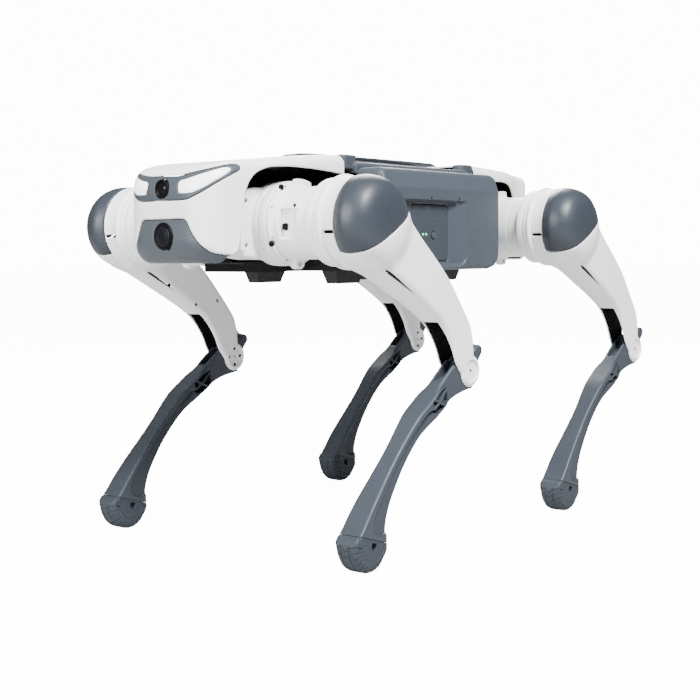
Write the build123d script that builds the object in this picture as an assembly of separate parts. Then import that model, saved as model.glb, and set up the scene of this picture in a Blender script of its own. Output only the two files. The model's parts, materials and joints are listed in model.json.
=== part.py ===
from build123d import *
import math
import os

# Quadruped robot dog, standing. Row frame: +X forward, +Y the robot's left, +Z up,
# origin on the ground under the middle of the bounding box. Everything is drawn
# about the middle of the four hip axes, and moved to the row frame on export.

# Stance and leg geometry (mm)
BODY_X = 31.8            # middle of the hips, ahead of the bounding box centre
HIP_X = 174.5            # hip pitch axis, fore and aft
LEG_Y = 157.0            # middle plane of thigh and shank
THIGH = 200.0            # hip pitch axis to knee axis
LEAN = 45.0              # thigh leans back, and shank forward, from vertical
ROLL_Y = 36.0            # hip roll axis, sideways from the centreline
CRANK = 26.0             # knee crank radius, and lever length behind the knee

# Hip module
BRACKET_BACK = 125.0     # rear face of the bracket block
BRACKET_FRONT = 226.0
BOSS_FRONT = 240.0
BRACKET_FACE = 50.0      # outward face of the block
BLOCK_Z = 33.0
RING_R = 39.0
RING_OUT = 66.0
PITCH_FLANGE_R = 38.0
PITCH_FLANGE_OUT = 77.0
PITCH_BODY_R = 33.0
PITCH_BODY_OUT = 112.0
PITCH_HUB_R = 11.9
ROLL_SPINDLE_R = 5.0
ROLL_SPINDLE_LENGTH = 13.0
ROLL_MOTOR_R = 29.0
ROLL_MOTOR_BACK = 62.0
ROLL_MOTOR_FRONT = 118.0

# Thigh
DRUM_R = 40.0
DRUM_IN = 114.5
DRUM_WALL = 3.5
SHELL_SPLIT = 150.0
CAP_R = 41.0
CAP_STRAIGHT_OUT = 160.0
CAP_OUT = 185.5
WALL = 3.0
EAR_R = 20.5
EAR_IN = LEG_Y - 12.5
EAR_OUT = LEG_Y + 12.5
GAP_HALF = 9.0           # half of the space between the two knee ears
KNEE_MOTOR_R = 30.0
KNEE_MOTOR_OUT = 146.0
DISH_R = 11.0            # round recess over each end of the knee pin
DISH_DEPTH = 1.4
PIN_END = 2.6            # knee pin ends this far inside the ears' faces
CAP_SEAM_SLOPE = -0.567  # the cap's lower seam falls towards the front
CAP_SEAM_Z = -8.0

# Knee drive
CRANK_IN = 147.0
CRANK_OUT = 153.5
ROD_IN = 154.6
ROD_OUT = 159.4
PIN_R = 2.5
PIN_FIT = 0.06
ROD_HALF = 3.2
EYE_R = 6.0

# Shank and foot, in the shank's plane: along the shank from the knee, and towards its rear
SHANK_HALF = 8.6         # half width between the knee ears
SHANK_HEAD_R = 19.0
FORK_HALF = 4.0          # half of the slot that the push rod works in
KNEE_PIN_R = 5.0
FOOT_S = 213.3
FOOT_T = -10.8
FOOT_R = 24.4
FOOT_HALF = 13.0
SEAM_FRONT = (217.0, -30.6)   # ends of the slanted joint between shank and foot
SEAM_REAR = (197.6, 6.0)
TREAD_GROOVES = 6
TREAD_STEP = 24.0        # degrees
TREAD_R = 1.4

# The hips stand over the lowest point of the round feet.
STANCE = math.cos(math.radians(LEAN))
HIP_Z = (THIGH + FOOT_S + FOOT_T) * STANCE + FOOT_R

# Torso
CHASSIS_X = 116.0        # half length of the motor housings and battery frame
CHASSIS_Y = 76.0
CHASSIS_LOW = -44.5
CHASSIS_HIGH = 48.0
BOARD_BAY_X = 58.0
BOARD_BAY_FLOOR = 22.0
SPINE_END = 248.0        # spine beam, which carries the end plates
PAN_END = 196.0
PAN_HALF = 28.0          # clear of the bracket's ring when the hip rolls
PAN_TOP = -35.0
END_PLATE = 241.0
PANEL_FRONT = 98.0
PANEL_BACK = -99.0
PANEL_Y = 115.0
PANEL_IN = 79.0
PANEL_LOW = -45.0
PANEL_HIGH = 54.0
PANEL_WALL = 3.0
PANEL_CORNER = 15.0
PANEL_EDGE = 9.0
TOP_Z = 60.0
DECK_LOW = 48.0
DECK_WALL = 4.0
KNOB_X = 101.0
KNOB_Y = 68.0
KNOB_TOP = 66.5
KNOB_LENGTH = 22.0
KNOB_WIDTH = 15.0
KNOB_HOLE_R = 2.15
SPINE_HALF = 6.0
BATTERY_BACK = -15.0
BATTERY_FRONT = 47.0
BATTERY_Y = 108.0
BATTERY_IN = -60.0
BATTERY_LOW = -36.0
BATTERY_HIGH = 20.0
BUTTON_X = 10.3
BUTTON_Z = -10.3
BUTTON_R = 3.4
BUTTON_LOW = BATTERY_Y - 1.7
BUTTON_TOP = BATTERY_Y + 0.8
HANDLE_BACK = -140.0
HANDLE_FRONT = 112.0
HANDLE_HALF = 9.0
HANDLE_LOW = 69.0
HANDLE_TOP = 73.0
ROOF_FRONT = 229.0       # roof of the end shells, over the hip brackets
ROOF_HALF = 74.0
ROOF_LOW = 56.5
ROOF_SIDE = 51.0
NOSE_X = 276.0
VISOR_X = 258.5          # back faces of visor and chin panel
CAMERA_Z = 30.0
CAMERA_R = 9.0
SENSOR_Z = -12.0
SENSOR_R = 12.5
LIGHT_X = 269.0
LIGHT_Y = 31.0
LIGHT_Z = 27.0
SKID_X = 85.0
SKID_Y = 52.0
SKID_BOTTOM = -57.0
SKID_TOP_LENGTH = 44.0
SKID_FOOT_LENGTH = 33.0


def box(x0, x1, y0, y1, z0, z1):
    """A block between two opposite corners."""
    size = Box(x1 - x0, y1 - y0, z1 - z0)
    return Pos((x0 + x1) / 2, (y0 + y1) / 2, (z0 + z1) / 2) * size


def rod_y(x, z, radius, y0, y1):
    """A cylinder along Y."""
    plane = Plane(origin=(x, y0, z), x_dir=(1, 0, 0), z_dir=(0, 1, 0))
    return extrude(plane * Circle(radius), y1 - y0)


def rod_x(y, z, radius, x0, x1):
    """A cylinder along X."""
    plane = Plane(origin=(x0, y, z), x_dir=(0, 1, 0), z_dir=(1, 0, 0))
    return extrude(plane * Circle(radius), x1 - x0)


def rod_z(x, y, radius, z0, z1):
    """A cylinder along Z."""
    return Pos(x, y, (z0 + z1) / 2) * Cylinder(radius, z1 - z0)


def rounded_plate_y(x0, x1, z0, z1, corner, y0, y1):
    """A plate with rounded corners, thick along Y."""
    plane = Plane(origin=((x0 + x1) / 2, y0, (z0 + z1) / 2), x_dir=(1, 0, 0), z_dir=(0, 1, 0))
    return extrude(plane * RectangleRounded(x1 - x0, z1 - z0, corner), y1 - y0)


def rounded_plate_z(x0, x1, y0, y1, corner, z0, z1):
    """A plate with rounded corners, thick along Z."""
    plane = Plane(origin=((x0 + x1) / 2, (y0 + y1) / 2, z0))
    return extrude(plane * RectangleRounded(x1 - x0, y1 - y0, corner), z1 - z0)


# Local planes: first axis along the limb, second towards its rear, normal along +Y.
LEAN_SIN = math.sin(math.radians(LEAN))
LEAN_COS = math.cos(math.radians(LEAN))
THIGH_DIR = Vector(-LEAN_SIN, 0, -LEAN_COS)
SHANK_DIR = Vector(LEAN_SIN, 0, -LEAN_COS)
HIP = Vector(HIP_X, 0, 0)
KNEE = HIP + THIGH_DIR * THIGH


def thigh_plane(y=0.0):
    return Plane(origin=(HIP.X, y, HIP.Z), x_dir=THIGH_DIR, z_dir=(0, 1, 0))


def shank_plane(y=0.0):
    return Plane(origin=(KNEE.X, y, KNEE.Z), x_dir=SHANK_DIR, z_dir=(0, 1, 0))


# Edges of the thigh in its own plane: hip at (0, 0), knee at (THIGH, 0)
THIGH_START = 14.0
THIGH_FRONT = [(30, -33.5), (60, -23), (100, -10), (132, -3), (160, -7), (178, -14), (189, -17.3)]
THIGH_REAR = [(191, 18.5), (178, 27), (160, 33), (120, 37.5), (70, 38.5), (30, 38.5)]
THIGH_SIDE = [(10, 134), (40, 136), (110, 143), (150, EAR_IN), (235, EAR_IN)]
THIGH_OUTSIDE = [(235, EAR_OUT), (150, EAR_OUT), (80, 173), (40, 175), (10, 174)]
SLOT_START = 126.0


def thigh_profile():
    """Side profile of the arm, which starts inside the round drum."""
    return make_face([
        Spline(*THIGH_FRONT),
        ThreePointArc(THIGH_FRONT[-1], (THIGH + EAR_R, 0), THIGH_REAR[0]),
        Spline(*THIGH_REAR),
        Line(THIGH_REAR[-1], (THIGH_START, 33)),
        Line((THIGH_START, 33), (THIGH_START, -33)),
        Line((THIGH_START, -33), THIGH_FRONT[0]),
    ])


def across_thigh(points):
    """A solid from an outline along and across the thigh, seen from behind it."""
    plane = Plane(origin=HIP, x_dir=THIGH_DIR, z_dir=(-LEAN_COS, 0, LEAN_SIN))
    # This plane's second axis points along -Y, so the widths are negated.
    outline = Polyline(*[(s, -y) for s, y in points], close=True)
    return extrude(plane * make_face(outline), 60, both=True)


def arm_solid():
    """The arm, tapering from the drum to the two knee ears."""
    blank = extrude(thigh_plane(100) * thigh_profile(), 100)
    return blank & across_thigh(THIGH_SIDE + THIGH_OUTSIDE)


def arm_hollow():
    """Space inside the arm, a wall thickness in from its faces."""
    front = [(s, t + WALL + 0.5) for s, t in THIGH_FRONT[:4]]
    rear = [(s, t - WALL - 0.5) for s, t in THIGH_REAR[3:]]
    points = [(THIGH_START, -29), *front, (165, 0.5), (165, 29.4), *rear, (THIGH_START, 29)]
    blank = extrude(thigh_plane(100) * make_face(Polyline(*points, close=True)), 100)
    ends = [(165, EAR_IN + WALL), (165, EAR_OUT - WALL)]
    inner = [(s, y + WALL) for s, y in THIGH_SIDE[:4]]
    outer = [(s, y - WALL) for s, y in THIGH_OUTSIDE[1:]]
    sides = inner + ends + outer
    return blank & across_thigh(sides)


def dome(radius, y0, y1, y2):
    """A drum end: straight from y0 to y1, then domed to y2."""
    flat = 0.42 * radius
    shoulder = (0.84 * radius, y1 + 0.66 * (y2 - y1))
    plane = Plane(origin=HIP, x_dir=(1, 0, 0), z_dir=(0, 0, 1))
    edges = [
        Line((0, y0), (radius, y0)),
        Line((radius, y0), (radius, y1)),
        ThreePointArc((radius, y1), shoulder, (flat, y2)),
        Line((flat, y2), (0, y2)),
        Line((0, y2), (0, y0)),
    ]
    return revolve(plane * make_face(edges), Axis(HIP, (0, 1, 0)))


def above_cap_seam(gap=0.0):
    """Everything above the cap's slanted lower seam, outside the shell split."""
    reach = 70
    low = CAP_SEAM_Z + gap
    plane = Plane(origin=(HIP_X, SHELL_SPLIT - 1, 0), x_dir=(1, 0, 0), z_dir=(0, 1, 0))
    # This plane's second axis points down, so heights are negated.
    outline = Polyline(
        (-reach, -(low - CAP_SEAM_SLOPE * reach)),
        (reach, -(low + CAP_SEAM_SLOPE * reach)),
        (reach, -2 * reach),
        (-reach, -2 * reach),
        close=True,
    )
    return extrude(plane * make_face(outline), 60)


def knee_slot():
    """Space between the knee ears for the shank's head and lever."""
    outline = Polyline((SLOT_START, -30), (240, -30), (240, 45), (163, 45), (163, 14), (SLOT_START, 14),
                       close=True)
    return extrude(thigh_plane(LEG_Y - GAP_HALF) * make_face(outline), 2 * GAP_HALF)


def thigh_cavity():
    drum = rod_y(HIP.X, HIP.Z, DRUM_R - WALL, DRUM_IN + DRUM_WALL, SHELL_SPLIT)
    end = dome(CAP_R - WALL, SHELL_SPLIT, CAP_STRAIGHT_OUT, CAP_OUT - WALL)
    return drum + end + arm_hollow() + knee_slot()


def local_point(plane, s, t):
    """A point given along and across a limb, in the body's frame."""
    return plane.from_local_coords((s, t, 0))


def thigh_shells():
    """The inner and outer halves of the thigh casing, and the grey cap over the hip."""
    drum = rod_y(HIP.X, HIP.Z, DRUM_R, DRUM_IN, SHELL_SPLIT)
    for ridge in (122.0, 133.0):
        groove = rod_y(HIP.X, HIP.Z, DRUM_R + 2, ridge, ridge + 1.2)
        drum -= groove - rod_y(HIP.X, HIP.Z, DRUM_R - 0.9, ridge, ridge + 1.2)
    end = dome(CAP_R, SHELL_SPLIT, CAP_STRAIGHT_OUT, CAP_OUT)
    arm = arm_solid()
    cavity = thigh_cavity()
    inner_zone = box(HIP.X - 300, HIP.X + 60, 100, SHELL_SPLIT, -260, 60)
    outer_zone = box(HIP.X - 300, HIP.X + 60, SHELL_SPLIT, 200, -260, 60)
    inner = ((drum + arm) & inner_zone) - cavity
    outer = ((end + arm) & outer_zone) - cavity
    cap = (end - cavity) & above_cap_seam(0.25)
    outer -= above_cap_seam() & (end + rod_y(HIP.X, HIP.Z, CAP_R + 4, SHELL_SPLIT, 200))
    pin_hole = rod_y(KNEE.X, KNEE.Z, KNEE_PIN_R, 140, 175)
    dish_in = rod_y(KNEE.X, KNEE.Z, DISH_R, EAR_IN - 1, EAR_IN + DISH_DEPTH)
    dish_out = rod_y(KNEE.X, KNEE.Z, DISH_R, EAR_OUT - DISH_DEPTH, EAR_OUT + 1)
    output_hole = rod_y(HIP.X, HIP.Z, PITCH_HUB_R + 0.1, DRUM_IN - 1, DRUM_IN + DRUM_WALL + 1)
    return inner - pin_hole - dish_in - output_hole, outer - pin_hole - dish_out, cap


def knee_motor():
    """Knee actuator, coaxial with the hip, bolted inside the thigh drum."""
    body = rod_y(HIP.X, HIP.Z, KNEE_MOTOR_R, DRUM_IN + DRUM_WALL, KNEE_MOTOR_OUT - 3)
    body += rod_y(HIP.X, HIP.Z, KNEE_MOTOR_R - 6, KNEE_MOTOR_OUT - 3, KNEE_MOTOR_OUT)
    return body - rod_y(HIP.X, HIP.Z, 3.05, KNEE_MOTOR_OUT - 12, KNEE_MOTOR_OUT + 1)


def knee_crank():
    """Output crank of the knee actuator, with its crankpin."""
    plane = thigh_plane(CRANK_IN)
    arm = extrude(plane * Rectangle(11, CRANK, align=(Align.CENTER, Align.MIN)), CRANK_OUT - CRANK_IN)
    tip = local_point(thigh_plane(), 0, CRANK)
    hub = rod_y(HIP.X, HIP.Z, 13, CRANK_IN, CRANK_OUT)
    stub = rod_y(HIP.X, HIP.Z, 3, KNEE_MOTOR_OUT - 11.5, CRANK_IN)
    boss = rod_y(tip.X, tip.Z, EYE_R, CRANK_IN, CRANK_OUT)
    pin = rod_y(tip.X, tip.Z, PIN_R, CRANK_OUT, ROD_OUT + 1)
    return hub + arm + boss + pin + stub


def push_rod():
    """Rod from the crank to the lever behind the knee, inside the thigh."""
    plane = thigh_plane(ROD_IN)
    bar = Rectangle(THIGH, 2 * ROD_HALF, align=(Align.MIN, Align.CENTER))
    profile = Pos(0, CRANK) * bar + Pos(0, CRANK) * Circle(EYE_R) + Pos(THIGH, CRANK) * Circle(EYE_R)
    slim = Pos(THIGH / 2, CRANK) * SlotOverall(THIGH - 40, 2.6)
    rod = extrude(plane * profile, ROD_OUT - ROD_IN)
    for depth in (ROD_IN, ROD_OUT - 1):
        rod -= extrude(thigh_plane(depth) * slim, 1)
    for s in (0, THIGH):
        eye = local_point(thigh_plane(), s, CRANK)
        rod -= rod_y(eye.X, eye.Z, PIN_R + PIN_FIT, ROD_IN - 1, ROD_OUT + 1)
    return rod


def knee_pin():
    return rod_y(KNEE.X, KNEE.Z, KNEE_PIN_R, EAR_IN + PIN_END, EAR_OUT - PIN_END)


def shank_profile():
    front = [(6, -21), (28, -24), (52, -28), (82, -34), (110, -34), (150, -33.5), (190, -32.5), SEAM_FRONT]
    rear = [SEAM_REAR, (187, -4.5), (170, -11.5), (145, -16), (110, -18), (76, -14), (45, -6), (24, 3),
            (12, 12)]
    edges = [
        Spline(*front),
        Line(front[-1], rear[0]),
        Spline(*rear),
        Line(rear[-1], front[0]),
    ]
    return make_face(edges)


def shank_taper():
    """The shank seen from the front: slim between the ears, waisted, wide at the foot."""
    half = [(-40, SHANK_HALF), (46, SHANK_HALF), (54, 12.2), (78, 11.5), (125, 9.8), (165, 10.8),
            (200, 12.8), (225, FOOT_HALF)]
    points = half + [(s, -w) for s, w in reversed(half)]
    plane = Plane(origin=(KNEE.X, LEG_Y, KNEE.Z), x_dir=SHANK_DIR, z_dir=(-LEAN_SIN, 0, -LEAN_COS))
    return extrude(plane * make_face(Polyline(*points, close=True)), 60, both=True)


def shank_cut(points, half, centre=LEG_Y):
    """A prism through the shank, from an outline in its own plane."""
    outline = make_face(Polyline(*points, close=True))
    return extrude(shank_plane(centre - half) * outline, 2 * half)


def shank():
    """Lower leg with its knee head, drive lever, side pockets and truss windows."""
    blank = extrude(shank_plane(LEG_Y - 20) * shank_profile(), 40) & shank_taper()
    head = rod_y(KNEE.X, KNEE.Z, SHANK_HEAD_R, LEG_Y - SHANK_HALF, LEG_Y + SHANK_HALF)
    lever_bar = Pos(-CRANK / 2, 0) * Rectangle(CRANK, 2 * EYE_R)
    lever_face = lever_bar + Pos(-CRANK, 0) * Circle(EYE_R)
    lever = extrude(shank_plane(LEG_Y - SHANK_HALF) * lever_face, 2 * SHANK_HALF)
    body = blank + head + lever
    # The slot widens forwards, because the push rod leans over the head as the knee folds.
    fork = [(-40, 12), (-13, 12), (-13, -6), (-7, -12), (-7, -40), (-40, -40)]
    channel = [(-8, -40), (60, -40), (60, -22), (20, -12), (-8, -12)]
    window = [(34, -20), (52, -22), (60, -22), (58, -15), (40, -9)]
    body -= shank_cut(fork, FORK_HALF)
    body -= shank_cut(channel, FORK_HALF + 0.5)
    body -= shank_cut(window, 20)
    pocket = [(76, -24), (110, -29), (180, -28), (201, -22), (203, -17), (195, 10), (170, 10), (145, -10),
              (110, -14)]
    for side in (-1, 1):
        body -= shank_cut(pocket, 6, LEG_Y + side * 13.5)
    tip = local_point(shank_plane(), -CRANK, 0)
    body += rod_y(tip.X, tip.Z, PIN_R, LEG_Y - FORK_HALF - 0.5, LEG_Y + FORK_HALF + 0.5)
    return body - rod_y(KNEE.X, KNEE.Z, KNEE_PIN_R + PIN_FIT, 140, 175)


def foot():
    """Rounded rubber foot below the slanted seam, with shallow grooves across its sole."""
    centre = local_point(shank_plane(), FOOT_S, FOOT_T)
    body = rod_y(centre.X, centre.Z, FOOT_R, LEG_Y - FOOT_HALF, LEG_Y + FOOT_HALF)
    body = fillet(body.edges().filter_by(GeomType.CIRCLE), 5.0)
    slope = (SEAM_REAR[0] - SEAM_FRONT[0]) / (SEAM_REAR[1] - SEAM_FRONT[1])
    ends = [(SEAM_FRONT[0] + slope * (t - SEAM_FRONT[1]), t) for t in (-60, 40)]
    body -= shank_cut([*ends, (100, 40), (100, -60)], 20)
    for count in range(TREAD_GROOVES):
        angle = math.radians(TREAD_STEP * (count - 1.5))
        s = FOOT_S + (FOOT_R + TREAD_R / 2) * math.cos(angle)
        t = FOOT_T + (FOOT_R + TREAD_R / 2) * math.sin(angle)
        body -= extrude(shank_plane(LEG_Y - 20) * Pos(s, t) * Circle(TREAD_R), 40)
    return body


def hip_bracket():
    """White hip bracket that rolls about a fore-and-aft axis and carries the pitch motor."""
    block = rod_x(ROLL_Y, 0, 28, BRACKET_BACK, BRACKET_FRONT)
    block -= box(BRACKET_BACK - 1, BRACKET_FRONT + 1, BRACKET_FACE, 80, -BLOCK_Z, BLOCK_Z)
    block += box(BRACKET_BACK, BRACKET_FRONT, ROLL_Y, BRACKET_FACE, -BLOCK_Z, BLOCK_Z)
    block += rod_x(ROLL_Y, 0, 13, ROLL_MOTOR_FRONT + 2, BOSS_FRONT)
    block += rod_y(HIP_X, 0, RING_R, ROLL_Y + 6, RING_OUT)
    block -= rod_y(HIP_X, 0, RING_R - 5, BRACKET_FACE, RING_OUT + 1)
    bore = ROLL_SPINDLE_R + 0.05
    block -= rod_x(ROLL_Y, 0, bore, BOSS_FRONT - 12, BOSS_FRONT + 1)
    block -= rod_x(ROLL_Y, 0, bore, ROLL_MOTOR_FRONT, ROLL_MOTOR_FRONT + ROLL_SPINDLE_LENGTH + 1)
    return block


def hip_motor():
    """Hip pitch actuator: flange with a ring of screw holes, stepped body and output hub."""
    body = rod_y(HIP_X, 0, RING_R - 5.1, BRACKET_FACE, RING_OUT)
    body += rod_y(HIP_X, 0, PITCH_FLANGE_R, RING_OUT, RING_OUT + 4)
    body += rod_y(HIP_X, 0, PITCH_FLANGE_R - 1.5, RING_OUT + 4, PITCH_FLANGE_OUT)
    body += rod_y(HIP_X, 0, PITCH_BODY_R, PITCH_FLANGE_OUT, PITCH_BODY_OUT)
    body += rod_y(HIP_X, 0, PITCH_HUB_R, PITCH_BODY_OUT, DRUM_IN + 2.5)
    # Lug for the cable clamp below the flange, and a flat for the connector above.
    body += box(HIP_X - 7, HIP_X + 7, RING_OUT, RING_OUT + 9, -PITCH_FLANGE_R - 4, -30)
    body -= box(HIP_X + 14, HIP_X + 40, 82, 98, 22, 40)
    holes = 8
    hole_circle = 35.2
    for count in range(holes):
        angle = math.radians((count + 0.5) * 360 / holes)
        x = HIP_X + hole_circle * math.cos(angle)
        body -= rod_y(x, hole_circle * math.sin(angle), 1.3, RING_OUT - 1, RING_OUT + 5)
    return body


def both_ends(node):
    """A piece and its mirror image at the other end of the robot."""
    return node + mirror(node, about=Plane.YZ)


def both_sides(node):
    """A piece and its mirror image on the other side of the robot."""
    return node + mirror(node, about=Plane.XZ)


def abduction_motor(x_sign, y_sign):
    """Hip roll actuator, fixed in the chassis, with its output stub."""
    body = rod_x(ROLL_Y, 0, ROLL_MOTOR_R, ROLL_MOTOR_BACK, ROLL_MOTOR_FRONT)
    stub_end = ROLL_MOTOR_FRONT + ROLL_SPINDLE_LENGTH
    body += rod_x(ROLL_Y, 0, ROLL_SPINDLE_R, ROLL_MOTOR_FRONT, stub_end)
    if x_sign < 0:
        body = mirror(body, about=Plane.YZ)
    if y_sign < 0:
        body = mirror(body, about=Plane.XZ)
    return body


def chassis():
    """Central frame: motor housings, battery bay, board bay, spine beams and end plates."""
    frame = box(-CHASSIS_X, CHASSIS_X, -CHASSIS_Y, CHASSIS_Y, CHASSIS_LOW, CHASSIS_HIGH)
    frame -= box(-BOARD_BAY_X, BOARD_BAY_X, -CHASSIS_Y - 1, CHASSIS_Y + 1, BOARD_BAY_FLOOR,
                 CHASSIS_HIGH + 1)
    frame -= box(BATTERY_BACK - 1, BATTERY_FRONT + 1, BATTERY_IN - 1, CHASSIS_Y + 1, BATTERY_LOW - 1,
                 BATTERY_HIGH + 1)
    motor_bore = rod_x(ROLL_Y, 0, ROLL_MOTOR_R, ROLL_MOTOR_BACK - 1, CHASSIS_X + 1)
    corner_step = box(100, CHASSIS_X + 1, CHASSIS_Y - 5, CHASSIS_Y + 1, CHASSIS_LOW - 1, CHASSIS_HIGH + 1)
    frame -= both_ends(both_sides(motor_bore + corner_step))
    start = CHASSIS_X - 1
    beam = box(start, SPINE_END, -SPINE_HALF, SPINE_HALF, -24, 24)
    beam += box(start, PAN_END, -SPINE_HALF, SPINE_HALF, PAN_TOP, -PAN_TOP)
    beam += box(start, PAN_END, -PAN_HALF, PAN_HALF, CHASSIS_LOW, PAN_TOP)
    beam += box(END_PLATE, END_PLATE + 6, -50, 50, -18, 18)
    beam += both_sides(rod_x(ROLL_Y, 0, ROLL_SPINDLE_R, BOSS_FRONT - 10, END_PLATE + 1))
    return frame + both_ends(beam)


def side_cover(with_bay):
    """Side cover with a shallow recess; with_bay opens it around the battery's face."""
    cover = rounded_plate_y(PANEL_BACK, PANEL_FRONT, PANEL_LOW, PANEL_HIGH, PANEL_CORNER, PANEL_IN, PANEL_Y)
    cover = fillet(cover.faces().sort_by(Axis.Y)[-1].edges(), PANEL_EDGE)
    inside = PANEL_Y - 8
    cover -= rounded_plate_y(PANEL_BACK + PANEL_WALL, PANEL_FRONT - PANEL_WALL, PANEL_LOW + PANEL_WALL,
                             PANEL_HIGH - PANEL_WALL, PANEL_CORNER - PANEL_WALL, PANEL_IN - 1, inside)
    cover -= rounded_plate_y(-42, 70, -43.5, 24, 6, PANEL_Y - 5, PANEL_Y + 1)
    if with_bay:
        gap = 0.6
        cover -= box(BATTERY_BACK - gap, BATTERY_FRONT + gap, inside - 2, PANEL_Y + 1, BATTERY_LOW - gap,
                     BATTERY_HIGH + gap)
    return cover


def top_cover():
    """Top deck, hollow below, with four mounting bosses."""
    edge = PANEL_IN - 0.3
    deck = rounded_plate_z(PANEL_BACK, PANEL_FRONT, -edge, edge, 4, DECK_LOW, TOP_Z)
    deck = fillet(deck.edges().filter_by(Axis.X).group_by(Axis.Z)[-1], 6)
    deck -= box(PANEL_BACK + DECK_WALL, PANEL_FRONT - DECK_WALL, -PANEL_IN + DECK_WALL,
                PANEL_IN - DECK_WALL, DECK_LOW - 1, TOP_Z - DECK_WALL + 0.5)
    for x in (-KNOB_X, KNOB_X):
        for y in (-KNOB_Y, KNOB_Y):
            deck += rounded_plate_z(x - KNOB_LENGTH / 2, x + KNOB_LENGTH / 2, y - KNOB_WIDTH / 2,
                                    y + KNOB_WIDTH / 2, 5, TOP_Z - DECK_WALL, KNOB_TOP)
            deck -= rod_z(x, y, KNOB_HOLE_R, TOP_Z - DECK_WALL - 1, KNOB_TOP + 1)
    return deck


def carry_handle():
    """Low carry bar along the back, raised on a foot at each end."""
    corner = 6
    bar = rounded_plate_z(HANDLE_BACK, HANDLE_FRONT, -HANDLE_HALF, HANDLE_HALF, corner, HANDLE_LOW,
                          HANDLE_TOP)
    for x0, x1, low in ((84, HANDLE_FRONT, TOP_Z), (HANDLE_BACK, -116, TOP_Z + 2)):
        bar += rounded_plate_z(x0, x1, -HANDLE_HALF, HANDLE_HALF, corner, low, HANDLE_LOW + 1)
    return bar


def arch_roof(x0, x1, wall):
    """A shell roof with short turned-down sides, over the hip bracket."""
    drop = 5
    shoulder = 16
    outside = [(ROOF_HALF, ROOF_SIDE), (ROOF_HALF, TOP_Z - drop), (ROOF_HALF - shoulder, TOP_Z)]
    inside = [(ROOF_HALF - shoulder - 1, ROOF_LOW), (ROOF_HALF - wall, ROOF_LOW - drop + 1),
              (ROOF_HALF - wall, ROOF_SIDE)]
    left = [(-y, z) for y, z in outside]
    under = [(-y, z) for y, z in inside]
    outline = Polyline(*left, *reversed(outside), *reversed(inside), *under, close=True)
    plane = Plane(origin=(x0, 0, 0), x_dir=(0, 1, 0), z_dir=(1, 0, 0))
    return extrude(plane * make_face(outline), x1 - x0)


def cross_plane(x, y, z):
    """A plane across the robot at a point, facing forward."""
    return Plane(origin=(x, y, z), x_dir=(0, 1, 0), z_dir=(1, 0, 0))


def fairing(sign, wall=3.0):
    """White end shell: a roof over the hips and a closed end beyond them."""
    roof = arch_roof(PANEL_FRONT + 1, ROOF_FRONT, wall)
    end = loft([cross_plane(ROOF_FRONT - 1, 0, 8) * RectangleRounded(118, 102, 14),
                cross_plane(262, 0, 7) * RectangleRounded(106, 76, 14)])
    core = loft([cross_plane(ROOF_FRONT - 3, 0, 7) * RectangleRounded(111, 93, 11),
                 cross_plane(258, 0, 7) * RectangleRounded(100, 69, 11)])
    shell = roof + (end - core)
    notch_x = KNOB_X + KNOB_LENGTH / 2 + 0.3
    notch_half = KNOB_WIDTH / 2 + 0.3
    notch = box(PANEL_FRONT, notch_x, KNOB_Y - notch_half, KNOB_Y + notch_half, DECK_LOW, TOP_Z + 2)
    shell -= both_sides(notch)
    return shell if sign > 0 else mirror(shell, about=Plane.YZ)


def head_shell():
    """White head shell, open at the front for the visor and the chin panel."""
    return fairing(1) - box(250, 280, -46, 46, -31, 41)


def tail_shell():
    return fairing(-1)


def light_window(y, depth):
    """One light strip's outline, cut or filled to a depth from its back plane."""
    return extrude(cross_plane(LIGHT_X, y, LIGHT_Z) * RectangleRounded(24, 9, 3), depth)


def head_visor():
    """Grey visor with the camera bore and two light-strip pockets."""
    visor = extrude(cross_plane(VISOR_X, 0, 21) * RectangleRounded(90, 32, 6), 12)
    visor = fillet(visor.faces().sort_by(Axis.X)[-1].edges(), 4)
    visor -= rod_x(0, CAMERA_Z, CAMERA_R + 0.05, 250, 280)
    for y in (-LIGHT_Y, LIGHT_Y):
        visor -= light_window(y, 3)
    return visor


def light_strips():
    return Compound(children=[light_window(y, 1.2) for y in (-LIGHT_Y, LIGHT_Y)])


def chin_panel():
    panel = extrude(cross_plane(VISOR_X, 0, -13.5) * RectangleRounded(82, 33, 7), 14)
    panel = fillet(panel.faces().sort_by(Axis.X)[-1].edges(), 4)
    return panel - rod_x(0, SENSOR_Z, SENSOR_R + 0.05, 250, 280)


def front_camera():
    """Camera barrel with a shallow recess in front of its lens."""
    face = 272
    return rod_x(0, CAMERA_Z, CAMERA_R, 256, face) - rod_x(0, CAMERA_Z, CAMERA_R - 1.8, face - 1, face + 1)


def chin_sensor():
    """Round sensor housing with a raised window."""
    rim_x = NOSE_X - 1
    body = rod_x(0, SENSOR_Z, SENSOR_R, 255, rim_x)
    window = rod_x(0, SENSOR_Z, SENSOR_R - 2, rim_x - 1, rim_x + 1.7)
    return body + fillet(window.edges().group_by(Axis.X)[-1], 1.2)


def battery():
    """Battery pack that slides out of the left side."""
    pack = box(BATTERY_BACK, BATTERY_FRONT, BATTERY_IN, BATTERY_Y, BATTERY_LOW, BATTERY_HIGH)
    pack = fillet(pack.edges().filter_by(Axis.Y), 3)
    pack -= rounded_plate_y(23, 43, -32, -18, 4, BATTERY_Y - 6, BATTERY_Y + 1)
    return pack - rod_y(BUTTON_X, BUTTON_Z, BUTTON_R + 0.2, BATTERY_Y - 3, BATTERY_Y + 1)


def power_button():
    return rod_y(BUTTON_X, BUTTON_Z, BUTTON_R, BUTTON_LOW, BUTTON_TOP)


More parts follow.
